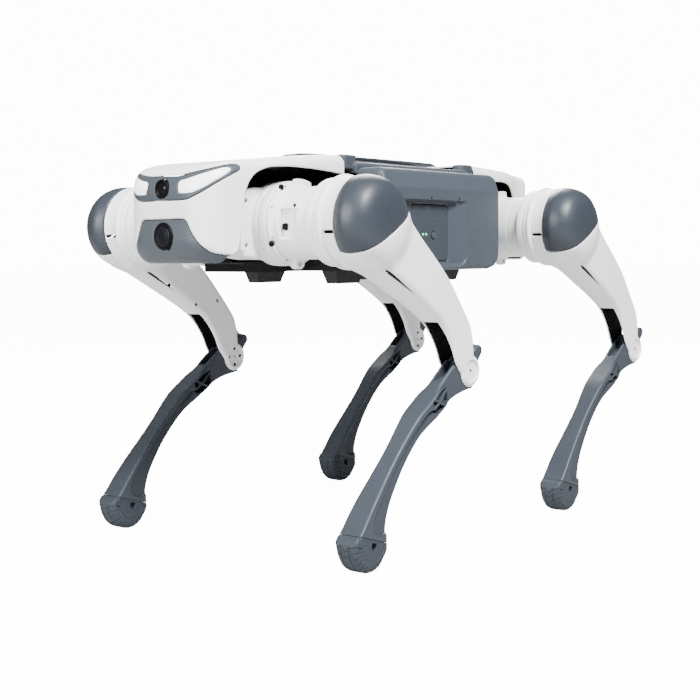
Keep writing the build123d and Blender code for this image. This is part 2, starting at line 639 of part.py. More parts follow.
def main_board():
    """Control computer: board, processor heat sink and connectors."""
    under = 24.0
    face = under + 1.8
    base = face + 4.2
    board = box(-52, 52, -62, 62, under, face)
    sink = box(-24, 24, -26, 26, face, base)
    fins = 9
    for count in range(fins):
        x = -22 + 5.2 * count
        sink += box(x, x + 1.6, -26, 26, base, base + 8)
    plugs = box(-46, -34, -50, 50, face, base + 3)
    return board + sink + plugs


def skid_pads():
    """Four trapezoid skids under the belly that the robot lies down on."""
    pads = []
    for x in (-SKID_X, SKID_X):
        for y in (-SKID_Y, SKID_Y):
            top = Plane(origin=(x, y, CHASSIS_LOW)) * Rectangle(SKID_TOP_LENGTH, 18)
            bottom = Plane(origin=(x, y, SKID_BOTTOM)) * Rectangle(SKID_FOOT_LENGTH, 14)
            pads.append(loft([bottom, top]))
    return Compound(children=pads)


def place_leg(node, x_sign, y_sign, turned):
    """Copy a front left piece to another corner; the bracket turns end for end."""
    if x_sign < 0 and turned:
        node = mirror(node, about=Plane.YZ)
    elif x_sign < 0:
        node = Pos(-2 * HIP_X, 0, 0) * node
    if y_sign < 0:
        node = mirror(node, about=Plane.XZ)
    return node


def leg_nodes():
    inner, outer, cap = thigh_shells()
    return {
        "hip_bracket": hip_bracket(),
        "hip_motor": hip_motor(),
        "thigh_inner_shell": inner,
        "thigh_outer_shell": outer,
        "hip_cap": cap,
        "knee_motor": knee_motor(),
        "knee_crank": knee_crank(),
        "push_rod": push_rod(),
        "knee_pin": knee_pin(),
        "shank": shank(),
        "foot": foot(),
    }


def torso_nodes():
    motors = [abduction_motor(i, j) for i in (-1, 1) for j in (-1, 1)]
    covers = [side_cover(True), mirror(side_cover(False), about=Plane.XZ)]
    return {
        "chassis": chassis(),
        "abduction_motors": Compound(children=motors),
        "battery": battery(),
        "power_button": power_button(),
        "main_board": main_board(),
        "side_covers": Compound(children=covers),
        "top_cover": top_cover(),
        "carry_handle": carry_handle(),
        "head_shell": head_shell(),
        "tail_shell": tail_shell(),
        "head_visor": head_visor(),
        "light_strips": light_strips(),
        "chin_panel": chin_panel(),
        "front_camera": front_camera(),
        "chin_sensor": chin_sensor(),
        "skid_pads": skid_pads(),
    }


def as_compound(node):
    """One shape from a boolean's result, which may be a list of solids."""
    if isinstance(node, ShapeList):
        return Compound(children=list(node))
    return node


def main():
    os.makedirs("parts", exist_ok=True)
    nodes = torso_nodes()
    corners = {"front_left": (1, 1), "front_right": (1, -1), "rear_left": (-1, 1), "rear_right": (-1, -1)}
    pieces = {name: as_compound(piece) for name, piece in leg_nodes().items()}
    for corner, (x_sign, y_sign) in corners.items():
        for name, piece in pieces.items():
            nodes[f"{corner}_{name}"] = place_leg(piece, x_sign, y_sign, name == "hip_bracket")
    shift = Pos(BODY_X, 0, HIP_Z)
    for name, node in nodes.items():
        export_step(shift * as_compound(node), f"parts/{name}.step")
    print(len(nodes), "nodes")


main()
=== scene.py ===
import json
import math

import bpy
import numpy as np
import openvdb
from mathutils import Matrix, Vector


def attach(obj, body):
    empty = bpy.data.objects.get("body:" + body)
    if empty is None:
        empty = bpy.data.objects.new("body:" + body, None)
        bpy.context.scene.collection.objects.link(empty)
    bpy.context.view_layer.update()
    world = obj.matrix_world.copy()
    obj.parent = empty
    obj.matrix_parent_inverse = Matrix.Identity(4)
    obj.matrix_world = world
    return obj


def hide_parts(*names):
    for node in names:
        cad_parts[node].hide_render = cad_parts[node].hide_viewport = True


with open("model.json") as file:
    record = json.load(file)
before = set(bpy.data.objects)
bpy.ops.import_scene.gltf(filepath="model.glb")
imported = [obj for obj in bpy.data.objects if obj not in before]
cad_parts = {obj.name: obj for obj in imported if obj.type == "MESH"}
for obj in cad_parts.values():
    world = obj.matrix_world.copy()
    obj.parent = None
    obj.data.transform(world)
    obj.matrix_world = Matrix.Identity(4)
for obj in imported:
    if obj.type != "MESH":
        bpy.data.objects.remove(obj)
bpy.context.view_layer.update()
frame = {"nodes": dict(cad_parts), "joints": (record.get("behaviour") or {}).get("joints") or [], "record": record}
MM = 0.001
DETAIL = 1.0        # voxel size multiplier

# ---------------------------------------- frame values
JOINTS = {joint["name"]: joint for joint in frame["joints"]}
CORNERS = {
    "front_left": (1, 1),
    "front_right": (1, -1),
    "rear_left": (-1, 1),
    "rear_right": (-1, -1),
}
HIPS = {corner: Vector(JOINTS[corner + "_hip_pitch"]["pos_m"]) for corner in CORNERS}
KNEES = {corner: Vector(JOINTS[corner + "_knee"]["pos_m"]) for corner in CORNERS}
CENTRE = sum(HIPS.values(), Vector()) / 4            # middle of the four hips
LEG_Y = HIPS["front_left"].y / MM
THIGH = (KNEES["front_left"] - HIPS["front_left"]).length / MM


# ---------------------------------------- materials
def node_group(name):
    """A new material, its node tree and its Principled shader."""
    material = bpy.data.materials.new(name)
    material.use_nodes = True
    tree = material.node_tree
    shader = tree.nodes["Principled BSDF"]
    return material, tree, shader


def noise(tree, scale, detail=3.0, rough=0.5):
    """Noise in the object's own space, in lumps per metre."""
    coords = tree.nodes.new("ShaderNodeTexCoord")
    texture = tree.nodes.new("ShaderNodeTexNoise")
    texture.inputs["Scale"].default_value = scale
    texture.inputs["Detail"].default_value = detail
    texture.inputs["Roughness"].default_value = rough
    tree.links.new(coords.outputs["Object"], texture.inputs["Vector"])
    return texture.outputs["Fac"]


def ramp(tree, value, stops):
    """A colour ramp over a value, from positions and colours."""
    node = tree.nodes.new("ShaderNodeValToRGB")
    elements = node.color_ramp.elements
    while len(elements) < len(stops):
        elements.new(0.5)
    for element, (position, colour) in zip(elements, stops):
        element.position = position
        element.color = (*colour, 1.0)
    tree.links.new(value, node.inputs["Fac"])
    return node.outputs["Color"]


def shade(colour, factor):
    return tuple(min(1.0, channel * factor) for channel in colour)


def moulded(name, colour, rough=0.42, grain=2600.0, bump=0.05, spread=0.05, shine=0.3):
    """Moulded plastic: fine spark-eroded texture, faint mottling, uneven gloss."""
    material, tree, shader = node_group(name)
    mottling = ramp(tree, noise(tree, 14.0, 4.0), [
        (0.3, shade(colour, 1 - spread)),
        (0.7, shade(colour, 1 + spread)),
    ])
    tree.links.new(mottling, shader.inputs["Base Color"])
    gloss = ramp(tree, noise(tree, 60.0, 5.0, 0.6), [
        (0.25, (rough - 0.06,) * 3),
        (0.75, (rough + 0.06,) * 3),
    ])
    tree.links.new(gloss, shader.inputs["Roughness"])
    texture = tree.nodes.new("ShaderNodeBump")
    texture.inputs["Strength"].default_value = bump
    texture.inputs["Distance"].default_value = 0.0002
    tree.links.new(noise(tree, grain, 2.0), texture.inputs["Height"])
    tree.links.new(texture.outputs["Normal"], shader.inputs["Normal"])
    shader.inputs["Specular IOR Level"].default_value = shine
    return material


def metal(name, colour, rough=0.32):
    """Machined metal with fine turning marks."""
    material, tree, shader = node_group(name)
    tint = ramp(tree, noise(tree, 40.0, 4.0), [
        (0.3, shade(colour, 0.88)),
        (0.7, shade(colour, 1.1)),
    ])
    tree.links.new(tint, shader.inputs["Base Color"])
    shader.inputs["Metallic"].default_value = 1.0
    gloss = ramp(tree, noise(tree, 900.0, 3.0), [(0.3, (rough - 0.08,) * 3), (0.7, (rough + 0.1,) * 3)])
    tree.links.new(gloss, shader.inputs["Roughness"])
    return material


def lens_glass(name, colour, rough=0.06):
    """Dark coated glass, faintly blue at grazing angles."""
    material, tree, shader = node_group(name)
    facing = tree.nodes.new("ShaderNodeLayerWeight")
    facing.inputs["Blend"].default_value = 0.35
    tint = ramp(tree, facing.outputs["Facing"], [(0.0, colour), (0.9, (0.008, 0.009, 0.016))])
    tree.links.new(tint, shader.inputs["Base Color"])
    gloss = ramp(tree, noise(tree, 300.0, 2.0), [(0.3, (rough,) * 3), (0.8, (rough + 0.04,) * 3)])
    tree.links.new(gloss, shader.inputs["Roughness"])
    shader.inputs["Specular IOR Level"].default_value = 0.08
    shader.inputs["Coat Weight"].default_value = 0.03
    shader.inputs["Coat Roughness"].default_value = 0.03
    return material


def glowing(name, colour, strength):
    """A lit diffuser, a little uneven along its length."""
    material, tree, shader = node_group(name)
    tint = ramp(tree, noise(tree, 120.0, 2.0), [(0.3, shade(colour, 0.96)), (0.7, colour)])
    tree.links.new(tint, shader.inputs["Base Color"])
    tree.links.new(tint, shader.inputs["Emission Color"])
    shader.inputs["Emission Strength"].default_value = strength
    shader.inputs["Roughness"].default_value = 0.3
    return material


MATERIALS = {
    "white_plastic": moulded("white_plastic", (0.73, 0.735, 0.735), 0.40, spread=0.012),
    "grey_plastic": moulded("grey_plastic", (0.036, 0.044, 0.055), 0.46, spread=0.035),
    "cap_grey": moulded("cap_grey", (0.024, 0.029, 0.037), 0.40, spread=0.03),
    "visor_grey": moulded("visor_grey", (0.038, 0.046, 0.056), 0.44, spread=0.03),
    "shank_grey": moulded("shank_grey", (0.027, 0.033, 0.042), 0.48, spread=0.04),
    "foot_rubber": moulded("foot_rubber", (0.023, 0.029, 0.037), 0.62, 1800.0, 0.12, 0.06),
    "black_chassis": moulded("black_chassis", (0.005, 0.005, 0.006), 0.45, spread=0.1, shine=0.15),
    # dark_grille is the real dark frame, and also painted shade on the inside faces of the white shells
    "dark_grille": moulded("dark_grille", (0.006, 0.006, 0.007), 0.5, spread=0.1, shine=0.1),
    "battery_case": moulded("battery_case", (0.026, 0.032, 0.040), 0.5, spread=0.04),
    "motor_housing": metal("motor_housing", (0.10, 0.10, 0.11), 0.42),
    "circuit_board": moulded("circuit_board", (0.006, 0.05, 0.02), 0.35, spread=0.2),
    "steel": metal("steel", (0.50, 0.51, 0.53)),
    "screw_black": moulded("screw_black", (0.0025, 0.0025, 0.003), 0.5, spread=0.08, shine=0.06),
    "lens_black": lens_glass("lens_black", (0.0015, 0.0015, 0.002)),
    "chin_grey": moulded("chin_grey", (0.045, 0.053, 0.064), 0.46, spread=0.03),
    "sensor_glass": lens_glass("sensor_glass", (0.004, 0.004, 0.0043), 0.3),
    "light_strip": glowing("light_strip", (0.95, 0.955, 0.96), 0.55),
    "led_green": glowing("led_green", (0.12, 0.75, 0.35), 1.5),
    "rubber_black": moulded("rubber_black", (0.012, 0.012, 0.013), 0.65, 1800.0, 0.12, 0.1),
}


def dress(obj, material, body):
    """Material and body of a new piece."""
    obj.data.materials.clear()
    obj.data.materials.append(MATERIALS[material])
    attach(obj, body)
    return obj


# ---------------------------------------- solid fields
# A part is drawn as a signed distance over a grid (mm, negative inside), and
# then turned into a closed quad mesh. Grids are open, so a 2-D outline stays 2-D.
class Grid:
    def __init__(self, low, high, step):
        self.low = np.array(low, float)
        self.step = step
        counts = [int(math.ceil((b - a) / step)) + 1 for a, b in zip(low, high)]
        axes = [a + step * np.arange(n) for a, n in zip(low, counts)]
        self.u = axes[0].reshape(-1, 1, 1)
        self.v = axes[1].reshape(1, -1, 1)
        self.w = axes[2].reshape(1, 1, -1)
        self.shape = tuple(counts)


def round_max(a, b, radius):
    """Intersection of two fields with its outer edge rounded."""
    corner = np.hypot(np.maximum(a + radius, 0), np.maximum(b + radius, 0))
    return np.minimum(np.maximum(a, b), -radius) + corner


def round_min(a, b, radius):
    """Union of two fields with the inner corner filled."""
    return -round_max(-a, -b, radius)


def cut(a, b, radius=0.0):
    """Field a with b taken away."""
    return round_max(a, -b, radius)


def through(points, steps=8, closed=False):
    """A smooth line through the points."""
    pts = [np.array(p, float) for p in points]
    count = len(pts)
    spans = count if closed else count - 1
    line = []
    for i in range(spans):
        if closed:
            p0, p1, p2, p3 = (pts[(i + k - 1) % count] for k in range(4))
        else:
            p0, p1, p2, p3 = (pts[min(max(i + k - 1, 0), count - 1)] for k in range(4))
        for k in range(steps):
            t = k / steps
            point = 0.5 * (2 * p1 + (p2 - p0) * t + (2 * p0 - 5 * p1 + 4 * p2 - p3) * t ** 2
                           + (3 * p1 - p0 - 3 * p2 + p3) * t ** 3)
            line.append(tuple(point))
    if not closed:
        line.append(tuple(pts[-1]))
    return line


def arc(centre, radius, start, end, steps=12):
    """Points along a circle's arc, in degrees."""
    angles = np.radians(np.linspace(start, end, steps + 1))
    return [(centre[0] + radius * math.cos(a), centre[1] + radius * math.sin(a)) for a in angles]


def outline_field(a, b, points):
    """Signed distance to a closed outline in the plane of two grid axes."""
    a, b = np.broadcast_arrays(a, b)
    best = np.full(a.shape, 1e9)
    inside = np.zeros(a.shape, bool)
    for (x0, y0), (x1, y1) in zip(points, points[1:] + points[:1]):
        dx, dy = x1 - x0, y1 - y0
        length = dx * dx + dy * dy
        if length < 1e-12:
            continue
        t = np.clip(((a - x0) * dx + (b - y0) * dy) / length, 0, 1)
        best = np.minimum(best, (a - x0 - t * dx) ** 2 + (b - y0 - t * dy) ** 2)
        if dy:
            crossing = ((y0 > b) != (y1 > b)) & (a < dx * (b - y0) / dy + x0)
            inside ^= crossing
    distance = np.sqrt(best)
    return np.where(inside, -distance, distance)


def slab(a, low, high):
    """Negative between two values of one axis."""
    return np.maximum(low - a, a - high)


def block(a, b, low_a, high_a, low_b, high_b, radius=0.0):
    """A rounded rectangle in the plane of two grid axes."""
    return round_max(slab(a, low_a, high_a), slab(b, low_b, high_b), radius)


def carve(a, b):
    """Field a with b taken away, and a sharp edge left."""
    return np.maximum(a, -b)


def round_hole(a, b, centre, radius):
    """A round hole or peg across the plane of two grid axes."""
    return np.hypot(a - centre[0], b - centre[1]) - radius


def on_circle(radius, angle):
    """The point at an angle, in degrees, on a circle about the origin."""
    return radius * math.cos(math.radians(angle)), radius * math.sin(math.radians(angle))


def polygonise(grid, field):
    """Points in grid millimetres, and quads, of the surface where the field is zero."""
    values = np.ascontiguousarray(np.broadcast_to(field, grid.shape), dtype=np.float32)
    cube = openvdb.FloatGrid(1e3)
    cube.copyFromArray(values)
    cube.transform = openvdb.createLinearTransform(voxelSize=grid.step)
    points, quads = cube.convertToQuads(isovalue=0.0)
    return points + grid.low, quads[:, ::-1]


def place(name, solid, matrix, material, body, replaced=(), inside=None):
    """An object from points and quads, put where the matrix says, riding on a body.

    inside is a second material, used as near-black painted shade, and a test of the middles in grid mm of the
    faces it goes on.
    """
    points, quads = solid
    corners = points @ np.array(matrix.to_3x3()).T + np.array(matrix.translation)
    order = quads[:, ::-1] if matrix.determinant() < 0 else quads
    mesh = bpy.data.meshes.new(name)
    mesh.from_pydata(corners.tolist(), [], order.tolist())
    mesh.validate()
    mesh.shade_smooth()
    obj = bpy.data.objects.new(name, mesh)
    bpy.context.scene.collection.objects.link(obj)
    dress(obj, material, body)
    # painted shade: faces that pass the test get the second, near-black material
    if inside:
        second, test = inside
        mesh.materials.append(MATERIALS[second])
        middles = points[order].mean(axis=1)
        mesh.polygons.foreach_set("material_index", test(*middles.T).astype(np.int32))
    if replaced:
        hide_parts(*replaced)
    return obj


def frame_matrix(origin, u, v, w):
    """Takes grid millimetres along u, v and w to metres in the row frame."""
    matrix = Matrix.Identity(4)
    for column, direction in enumerate((u, v, w)):
        for row in range(3):
            matrix[row][column] = direction[row] * MM
    for row in range(3):
        matrix[row][3] = origin[row]
    return matrix


HALF = math.sqrt(0.5)


def thigh_matrix(corner):
    """Along the thigh from the hip, towards its rear, and out from the centreline."""
    hip = HIPS[corner]
    side = CORNERS[corner][1]
    return frame_matrix((hip.x, 0, hip.z), (-HALF, 0, -HALF), (-HALF, 0, HALF), (0, side, 0))


def shank_matrix(corner):
    """Along the shank from the knee, towards its rear, and out from the centreline."""
    knee = KNEES[corner]
    side = CORNERS[corner][1]
    return frame_matrix((knee.x, 0, knee.z), (HALF, 0, -HALF), (-HALF, 0, -HALF), (0, side, 0))


def hip_matrix(corner):
    """Away from the robot's middle, up, and out, from the hip pitch axis."""
    hip = HIPS[corner]
    end, side = CORNERS[corner]
    return frame_matrix((hip.x, 0, hip.z), (end, 0, 0), (0, 0, 1), (0, side, 0))


BODY_MATRIX = frame_matrix(CENTRE, (1, 0, 0), (0, 1, 0), (0, 0, 1))

# ---------------------------------------- thigh and cap
DRUM_IN = 114.5
CAP_EDGE = 148.0
SPLIT = 150.0
EAR_IN = LEG_Y - 12.5
EAR_OUT = LEG_Y + 12.5
KNEE_GAP = 9.0
THIGH_WALL = 3.0


def thigh_profile(s, t):
    """The thigh from the side."""
    front = through([(18, -35), (34, -31.5), (60, -23), (100, -10), (132, -3.4), (158, -6), (176, -12),
                     (190, -13.6)])
    rear = through([(194, 15.4), (187, 21.5), (178, 28.0), (162, 33.6), (120, 36.0), (80, 34.2),
                    (45, 32.4), (16, 32.0)])
    end = arc((THIGH, 0), 17.0, -125, 112, 20)
    return outline_field(s, t, front + end[1:-1] + rear + [(-6, 20), (-6, -20)])


def thigh_width(s, y):
    """The thigh from behind."""
    inside = through([(-8, 133), (28, 134.5), (70, 138.5), (110, 142.6), (145, EAR_IN), (180, EAR_IN),
                      (235, EAR_IN)])
    outside = through([(235, EAR_OUT), (180, EAR_OUT), (145, EAR_OUT + 0.6), (100, 173.2), (60, 174.6),
                       (20, 175.0), (-8, 174)])
    return outline_field(s, y, inside + outside)


def thigh_fields(grid):
    """Outer skin and inner hollow of the thigh; s along, t to the rear, y out."""
    s, t, y = grid.u, grid.v, grid.w
    profile = thigh_profile(s, t)
    width = thigh_width(s, y)
    corner = 7.0 + 5.0 * rise(-s, -110, -30)
    arm = round_max(profile, width, corner)
    radius = np.hypot(s, t)
    lead = 6.0 * HALF * rise(y, 140, 162)
    cap_radius = np.hypot(s + lead, t + lead)
    drum = round_max(radius - 39.6, slab(y, DRUM_IN, 134.0), 1.2)
    drum = np.minimum(drum, round_max(radius - 40.3, slab(y, 122.8, 134.0), 0.8))
    shoulder = through([(0, 128), (39.5, 128), (40.2, 136), (40.9, 148), (41.2, 156), (40.4, 163),
                        (38.2, 170.5), (33.5, 177.5), (25.5, 182.4), (14, 184.7), (0, 185.1)], 6)
    dome = outline_field(cap_radius, y, shoulder + [(0, 186)])
    skin = round_min(arm, dome, 9.0)
    skin = np.minimum(skin, drum)
    for ridge in (122.0, 133.6):
        groove = np.maximum(np.abs(y - ridge) - 0.7, -(skin + 1.1))
        skin = np.where(radius < 44, np.maximum(skin, -groove), skin)
    hollow_profile = profile + THIGH_WALL
    hollow_width = width + THIGH_WALL
    hollow = round_max(np.maximum(hollow_profile, s - 168), hollow_width, corner - 2.0)
    hollow = np.minimum(hollow, np.maximum(radius - 36.5, slab(y, DRUM_IN + 3.5, 172)))
    hollow = np.minimum(hollow, dome + THIGH_WALL)
    hollow = np.maximum(hollow, skin + 2.2)
    mouth = outline_field(s, t, through([(127, -30), (127, -4), (134, 1.6), (146, 3), (160, 3), (176, 4)])
                          + [(240, 4), (240, -30)])
    rear_slot = outline_field(s, t, [(160, 4), (160, 22), (166, 45), (240, 45), (240, 0)])
    gap = np.maximum(np.minimum(mouth, rear_slot), np.abs(y - LEG_Y) - KNEE_GAP)
    hollow = np.minimum(hollow, gap)
    return skin, hollow


def cap_plane(grid):
    """Negative above the cap's seam, which falls towards the front of the hip."""
    s, t = grid.u, grid.v
    x = -HALF * (s + t)
    z = HALF * (t - s)
    return (-8.0 - 0.567 * x - z) / math.hypot(1, 0.567)


def screw_hole(s, t, y, centre, radius, face, depth):
    """A round blind hole from a face on the outside or inside of the leg."""
    distance = np.hypot(s - centre[0], t - centre[1]) - radius
    return np.maximum(distance, np.abs(y - face) - depth)


def painted_shade_in_thigh(s, t, y):
    """Faces of the hollow, well below the skin, which get the near-black material as painted shade."""
    arm = np.maximum(thigh_profile(s, t), thigh_width(s, y)) < -2.5
    drum = (np.hypot(s, t) < 37.5) & (y > DRUM_IN + 2) & (y < SPLIT)
    return arm | drum


def build_thighs():
    """Outer and inner shell, parted along the limb, and the cap over the hip."""
    grid = Grid((-46, -46, 111), (226, 46, 189), 0.85 * DETAIL)
    s, t, y = grid.u, grid.v, grid.w
    skin, hollow = thigh_fields(grid)
    seam = cap_plane(grid)
    shell = np.maximum(skin, -hollow)
    ahead = -HALF * (s + t)
    above = HALF * (t - s)
    slot = np.maximum(np.maximum(slab(above, -10.4, -7.6), slab(y, 134.4, 147.0)), 34 - ahead)
    shell = carve(shell, slot)
    knee = np.hypot(s - THIGH, t)
    dish_out = round_max(knee - 10.5, (EAR_OUT - 2.2) - y, 1.0)
    dish_in = round_max(knee - 11.0, y - (EAR_IN + 2.2), 1.0)
    over_cap = np.maximum(seam, CAP_EDGE - y)
    outer = np.maximum(shell, SPLIT + 0.2 - y)
    outer = carve(outer, over_cap - 0.35)
    outer = cut(outer, dish_out, 0.6)
    outer = carve(outer, screw_hole(s, t, y, (THIGH, 0), 1.6, EAR_OUT, 5))
    inner = np.maximum(shell, y - (SPLIT - 0.2))
    inner = carve(inner, over_cap - 0.35)
    inner = cut(inner, dish_in, 0.6)
    for centre in ((0, 0), (6.2, 6.2), (6.2, -6.2), (-6.2, 6.2), (-6.2, -6.2)):
        spot = (THIGH + centre[0], centre[1])
        inner = carve(inner, screw_hole(s, t, y, spot, 1.6, EAR_IN, 5))
    for spot in ((24, -28), (69, -15), (114, -0.5), (135, 25)):
        inner = carve(inner, screw_hole(s, t, y, spot, 2.0, 138, 9))
    cap = np.maximum(np.maximum(skin, -(skin + 2.2)), over_cap + 0.35)
    cap = round_max(cap, over_cap + 0.35, 0.8)
    solids = {
        "thigh_outer_shell": (polygonise(grid, outer), "white_plastic", "white_plastic"),
        "thigh_inner_shell": (polygonise(grid, inner), "white_plastic", "white_plastic"),
        "hip_cap": (polygonise(grid, cap), "cap_grey", "grey_plastic"),
    }
    for corner in CORNERS:
        for node, (solid, material, slot) in solids.items():
            name = f"{corner}_{node}"
            # the dark_grille faces inside each shell are painted shade, not a grille
            place(name + "_skin", solid, thigh_matrix(corner), material, corner + "_thigh", [name],
                  ("dark_grille", painted_shade_in_thigh))


# ---------------------------------------- shank and foot
FOOT_S = 213.3                        # middle of the round foot, in the shank's own plane
FOOT_T = -10.8
FOOT_R = 24.4
FOOT_HALF = 13.0
SEAM_SLOPE = 0.53                     # the joint of shank and foot slants in the shank's plane
SEAM_AT = 200.8


def seam_plane(s, t):
    """Negative on the shank's side of the joint with the foot."""
    return (s + SEAM_SLOPE * t - SEAM_AT) / math.hypot(1, SEAM_SLOPE)


def limb_profile(s, t):
    """Side view of shank and foot as one outline, so that they meet flush."""
    front = through([(4, -20), (20, -23.4), (45, -26.6), (64, -30.0), (82, -33.8), (98, -34.6), (120, -34.4),
                     (150, -34.2), (180, -33.6), (197, -32.4), (208, -31.2), (216, -30.8)])
    foot = through([(216, -30.8), (225.0, -31.4), (231.2, -26.1), (235.3, -17.2), (236.5, -8.0), (233.8, 1.4),
                    (228.1, 8.6), (219.5, 13.2), (210.5, 13.4), (203.0, 10.8), (197.6, 5.6)])
    rear = through([(197.6, 5.6), (190, -1.6), (183, -6.0), (170, -11.0), (153, -14.6), (134, -17.2),
                    (112, -18.0), (92, -16.6), (70, -12.4), (48, -6.0), (30, 2.0), (16, 11.0), (6, 19)])
    return outline_field(s, t, front[:-1] + foot[:-1] + rear)


def limb_width(s, y):
    half = through([(-45, 8.4), (20, 8.4), (40, 8.5), (52, 11.6), (66, 12.2), (84, 11.6), (112, 10.0),
                    (132, 9.7), (155, 10.6), (175, 11.8), (195, 12.7), (212, 13.0), (245, 13.0)])
    return outline_field(s, y, mirrored(half))


def build_shanks():
    step = 0.72 * DETAIL
    grid = Grid((-35, -39, LEG_Y - 15), (222, 23, LEG_Y + 15), step)
    s, t, y = grid.u, grid.v, grid.w - LEG_Y
    body = round_max(limb_profile(s, t), limb_width(s, y), 3.0)
    knee = np.hypot(s, t)
    head = round_max(knee - 16.0, np.abs(y) - 8.4, 1.5)
    lever = outline_field(s, t, [(0, 7.5), (-26, 5.6), (-26, -5.6), (0, -7.5)])
    lever = np.minimum(lever, np.hypot(s + 26, t) - 5.6)
    lever = round_max(lever, np.abs(y) - 8.4, 1.5)
    shank = round_min(body, np.minimum(head, lever), 2.0)
    fork = outline_field(s, t, [(-40, 12), (-13, 12), (-13, -6), (-7, -12), (-7, -40), (-40, -40)])
    shank = carve(shank, np.maximum(fork, np.abs(y) - 4.0))
    channel = outline_field(s, t, [(-8, -40), (36, -40), (34, -22), (20, -13), (-8, -13)])
    shank = cut(shank, round_max(channel, np.abs(y) - 4.8, 1.0), 1.0)
    web = outline_field(s, t, through([(64, -17), (72, -25.5), (90, -28.6), (118, -29.2), (144, -29.0),
                                       (166, -28.0), (184, -27.6), (194, -26.2), (201, -22.6), (203.4, -16.6),
                                       (200.4, -9.0), (196.4, -3.2), (192.0, -2.4)])
                        + [(190, 14), (150, 14), (120, -10), (92, -12), (74, -12.5)])
    back_from_flange = t + 28.6
    web_face = 6.0 + 0.13 * np.clip(back_from_flange, 0, 30) + 3.4 * rise(-s, -96, -62) * rise(t, -26, -19)
    pocket = np.maximum(web, web_face - np.abs(y))
    shank = cut(shank, pocket, 0.8)
    window = outline_field(s, t, [(35, -16.5), (50, -24.5), (63, -27.5), (68, -20), (66, -14.5), (44, -7.5)])
    for start, end in (((33, -14), (72, -23)), ((60, -29), (50, -6))):
        direction = np.array(end) - np.array(start)
        direction = direction / np.hypot(*direction)
        bar = np.abs((s - start[0]) * direction[1] - (t - start[1]) * direction[0]) - 1.2
        window = carve(window, bar)
    window = carve(window, np.abs(y) - 3.0)
    shank = cut(shank, window, 0.6)
    shank = np.maximum(shank, seam_plane(s, t) + 0.06)
    shank = carve(shank, knee - 5.1)
    solid = polygonise(grid, shank)
    for corner in CORNERS:
        name = corner + "_shank"
        place(name + "_skin", solid, shank_matrix(corner), "shank_grey", name, [name])


def build_feet():
    """Rubber foot with its side inlay, and a tread of bars, rails and chevrons."""
    step = 0.42 * DETAIL
    grid = Grid((191, -38, LEG_Y - 14), (239, 16, LEG_Y + 14), step)
    s, t, y = grid.u, grid.v, grid.w - LEG_Y
    seam = seam_plane(s, t)
    along = 1 / math.hypot(1, SEAM_SLOPE)
    below = along * ((s - FOOT_S) + SEAM_SLOPE * (t - FOOT_T))
    back = along * (-SEAM_SLOPE * (s - FOOT_S) + (t - FOOT_T))
    corner_radius = 3.0 + 4.6 * rise(below, -4, 9)
    profile = limb_profile(s, t)
    foot = round_max(profile, limb_width(s, y), corner_radius)
    angle = np.degrees(np.arctan2(back, below))
    tread = slab(below, 3.2, 40)
    skin = foot
    centre = np.abs(y) - 4.3 - 0.5 * np.abs((angle / 7.5) % 2 - 1)
    rail = np.maximum(np.abs(centre) - 0.30, -(skin + 0.9))
    foot = carve(foot, np.maximum(rail, tread))
    lean = np.where(centre < 0, 2.2 * np.abs(y), 9.5 + 0.5 * (np.abs(y) - 4.3))
    phase = np.abs((angle + lean) % 15.0 - 7.5) * math.radians(1) * FOOT_R
    bars = np.maximum(np.abs(phase) - 0.34, -(skin + 0.8))
    inner_end = 15.5 - np.hypot(below + 1.5, back)
    bars = np.maximum(bars, inner_end)
    foot = carve(foot, np.maximum(bars, tread))
    disc = np.hypot(below + 1.5, back - 1.0) - 15.0
    face = np.abs(y) - (FOOT_HALF - 0.5)
    ring = np.maximum(np.abs(disc) - 0.30, -(face + 0.2))
    foot = carve(foot, np.maximum(ring, -3.6 - below))
    foot = carve(foot, np.maximum(np.maximum(disc, -4.6 - below), FOOT_HALF - 0.35 - np.abs(y)))
    hole = round_max(np.abs(back - 2.2) - 3.4, slab(below, -9.0, 3.6), 3.2)
    hole = np.maximum(np.maximum(hole, -3.4 - below), 8.0 - np.abs(y))
    foot = carve(foot, hole)
    tab = np.maximum(np.abs(block(below, back, -6.5, 3.4, -19.4, -14.6, 0.6)) - 0.35, 11.4 - np.abs(y))
    foot = carve(foot, tab)
    foot = np.maximum(foot, 0.06 - seam)
    solid = polygonise(grid, foot)
    for corner in CORNERS:
        place(corner + "_foot_tread", solid, shank_matrix(corner), "foot_rubber", corner + "_shank",
              [corner + "_foot"])


# ---------------------------------------- torso sizes
PANEL_Y = 115.0
PANEL_BACK = -103.0
PANEL_FRONT = 98.0
PANEL_LOW = -45.0
CREASE_Z = 35.5
CREASE_SLOPE = 0.34
RECESS_DEPTH = 7.0
RECESS_BACK = -42.0
RECESS_FRONT = 86.0
RECESS_TOP = 24.0
NOTCHES = (22.4, -26.3)
DOOR_Y = 108.0
DOOR = (-15.0, 47.0, -36.0, 20.0)     # battery's door: back, front, low, high
BUTTON = (10.3, -10.3)
LED_STEP = 5.4
KNOB_X = 101.0
KNOB_Y = 68.0

# ---------------------------------------- head and tail shells
NOSE_X = 276.0
CAMERA_Z = 30.4
SENSOR_Z = -11.8
ROLL_Y = JOINTS["front_left_hip_roll"]["pos_m"][1] / MM
VISOR_BACK = 172.0
SHELL_START = 98.4
SHELL_WALL = 2.6
PAINTED_SHADE_DEPTH = -1.8                         # faces deeper than this below a shell's skin get near-black painted shade
SKIN_GAP = 0.22                       # half of the joint line between two skins


def mirrored(points):
    """A closed outline from its half above the first grid axis."""
    return points + [(a, -b) for a, b in reversed(points)]


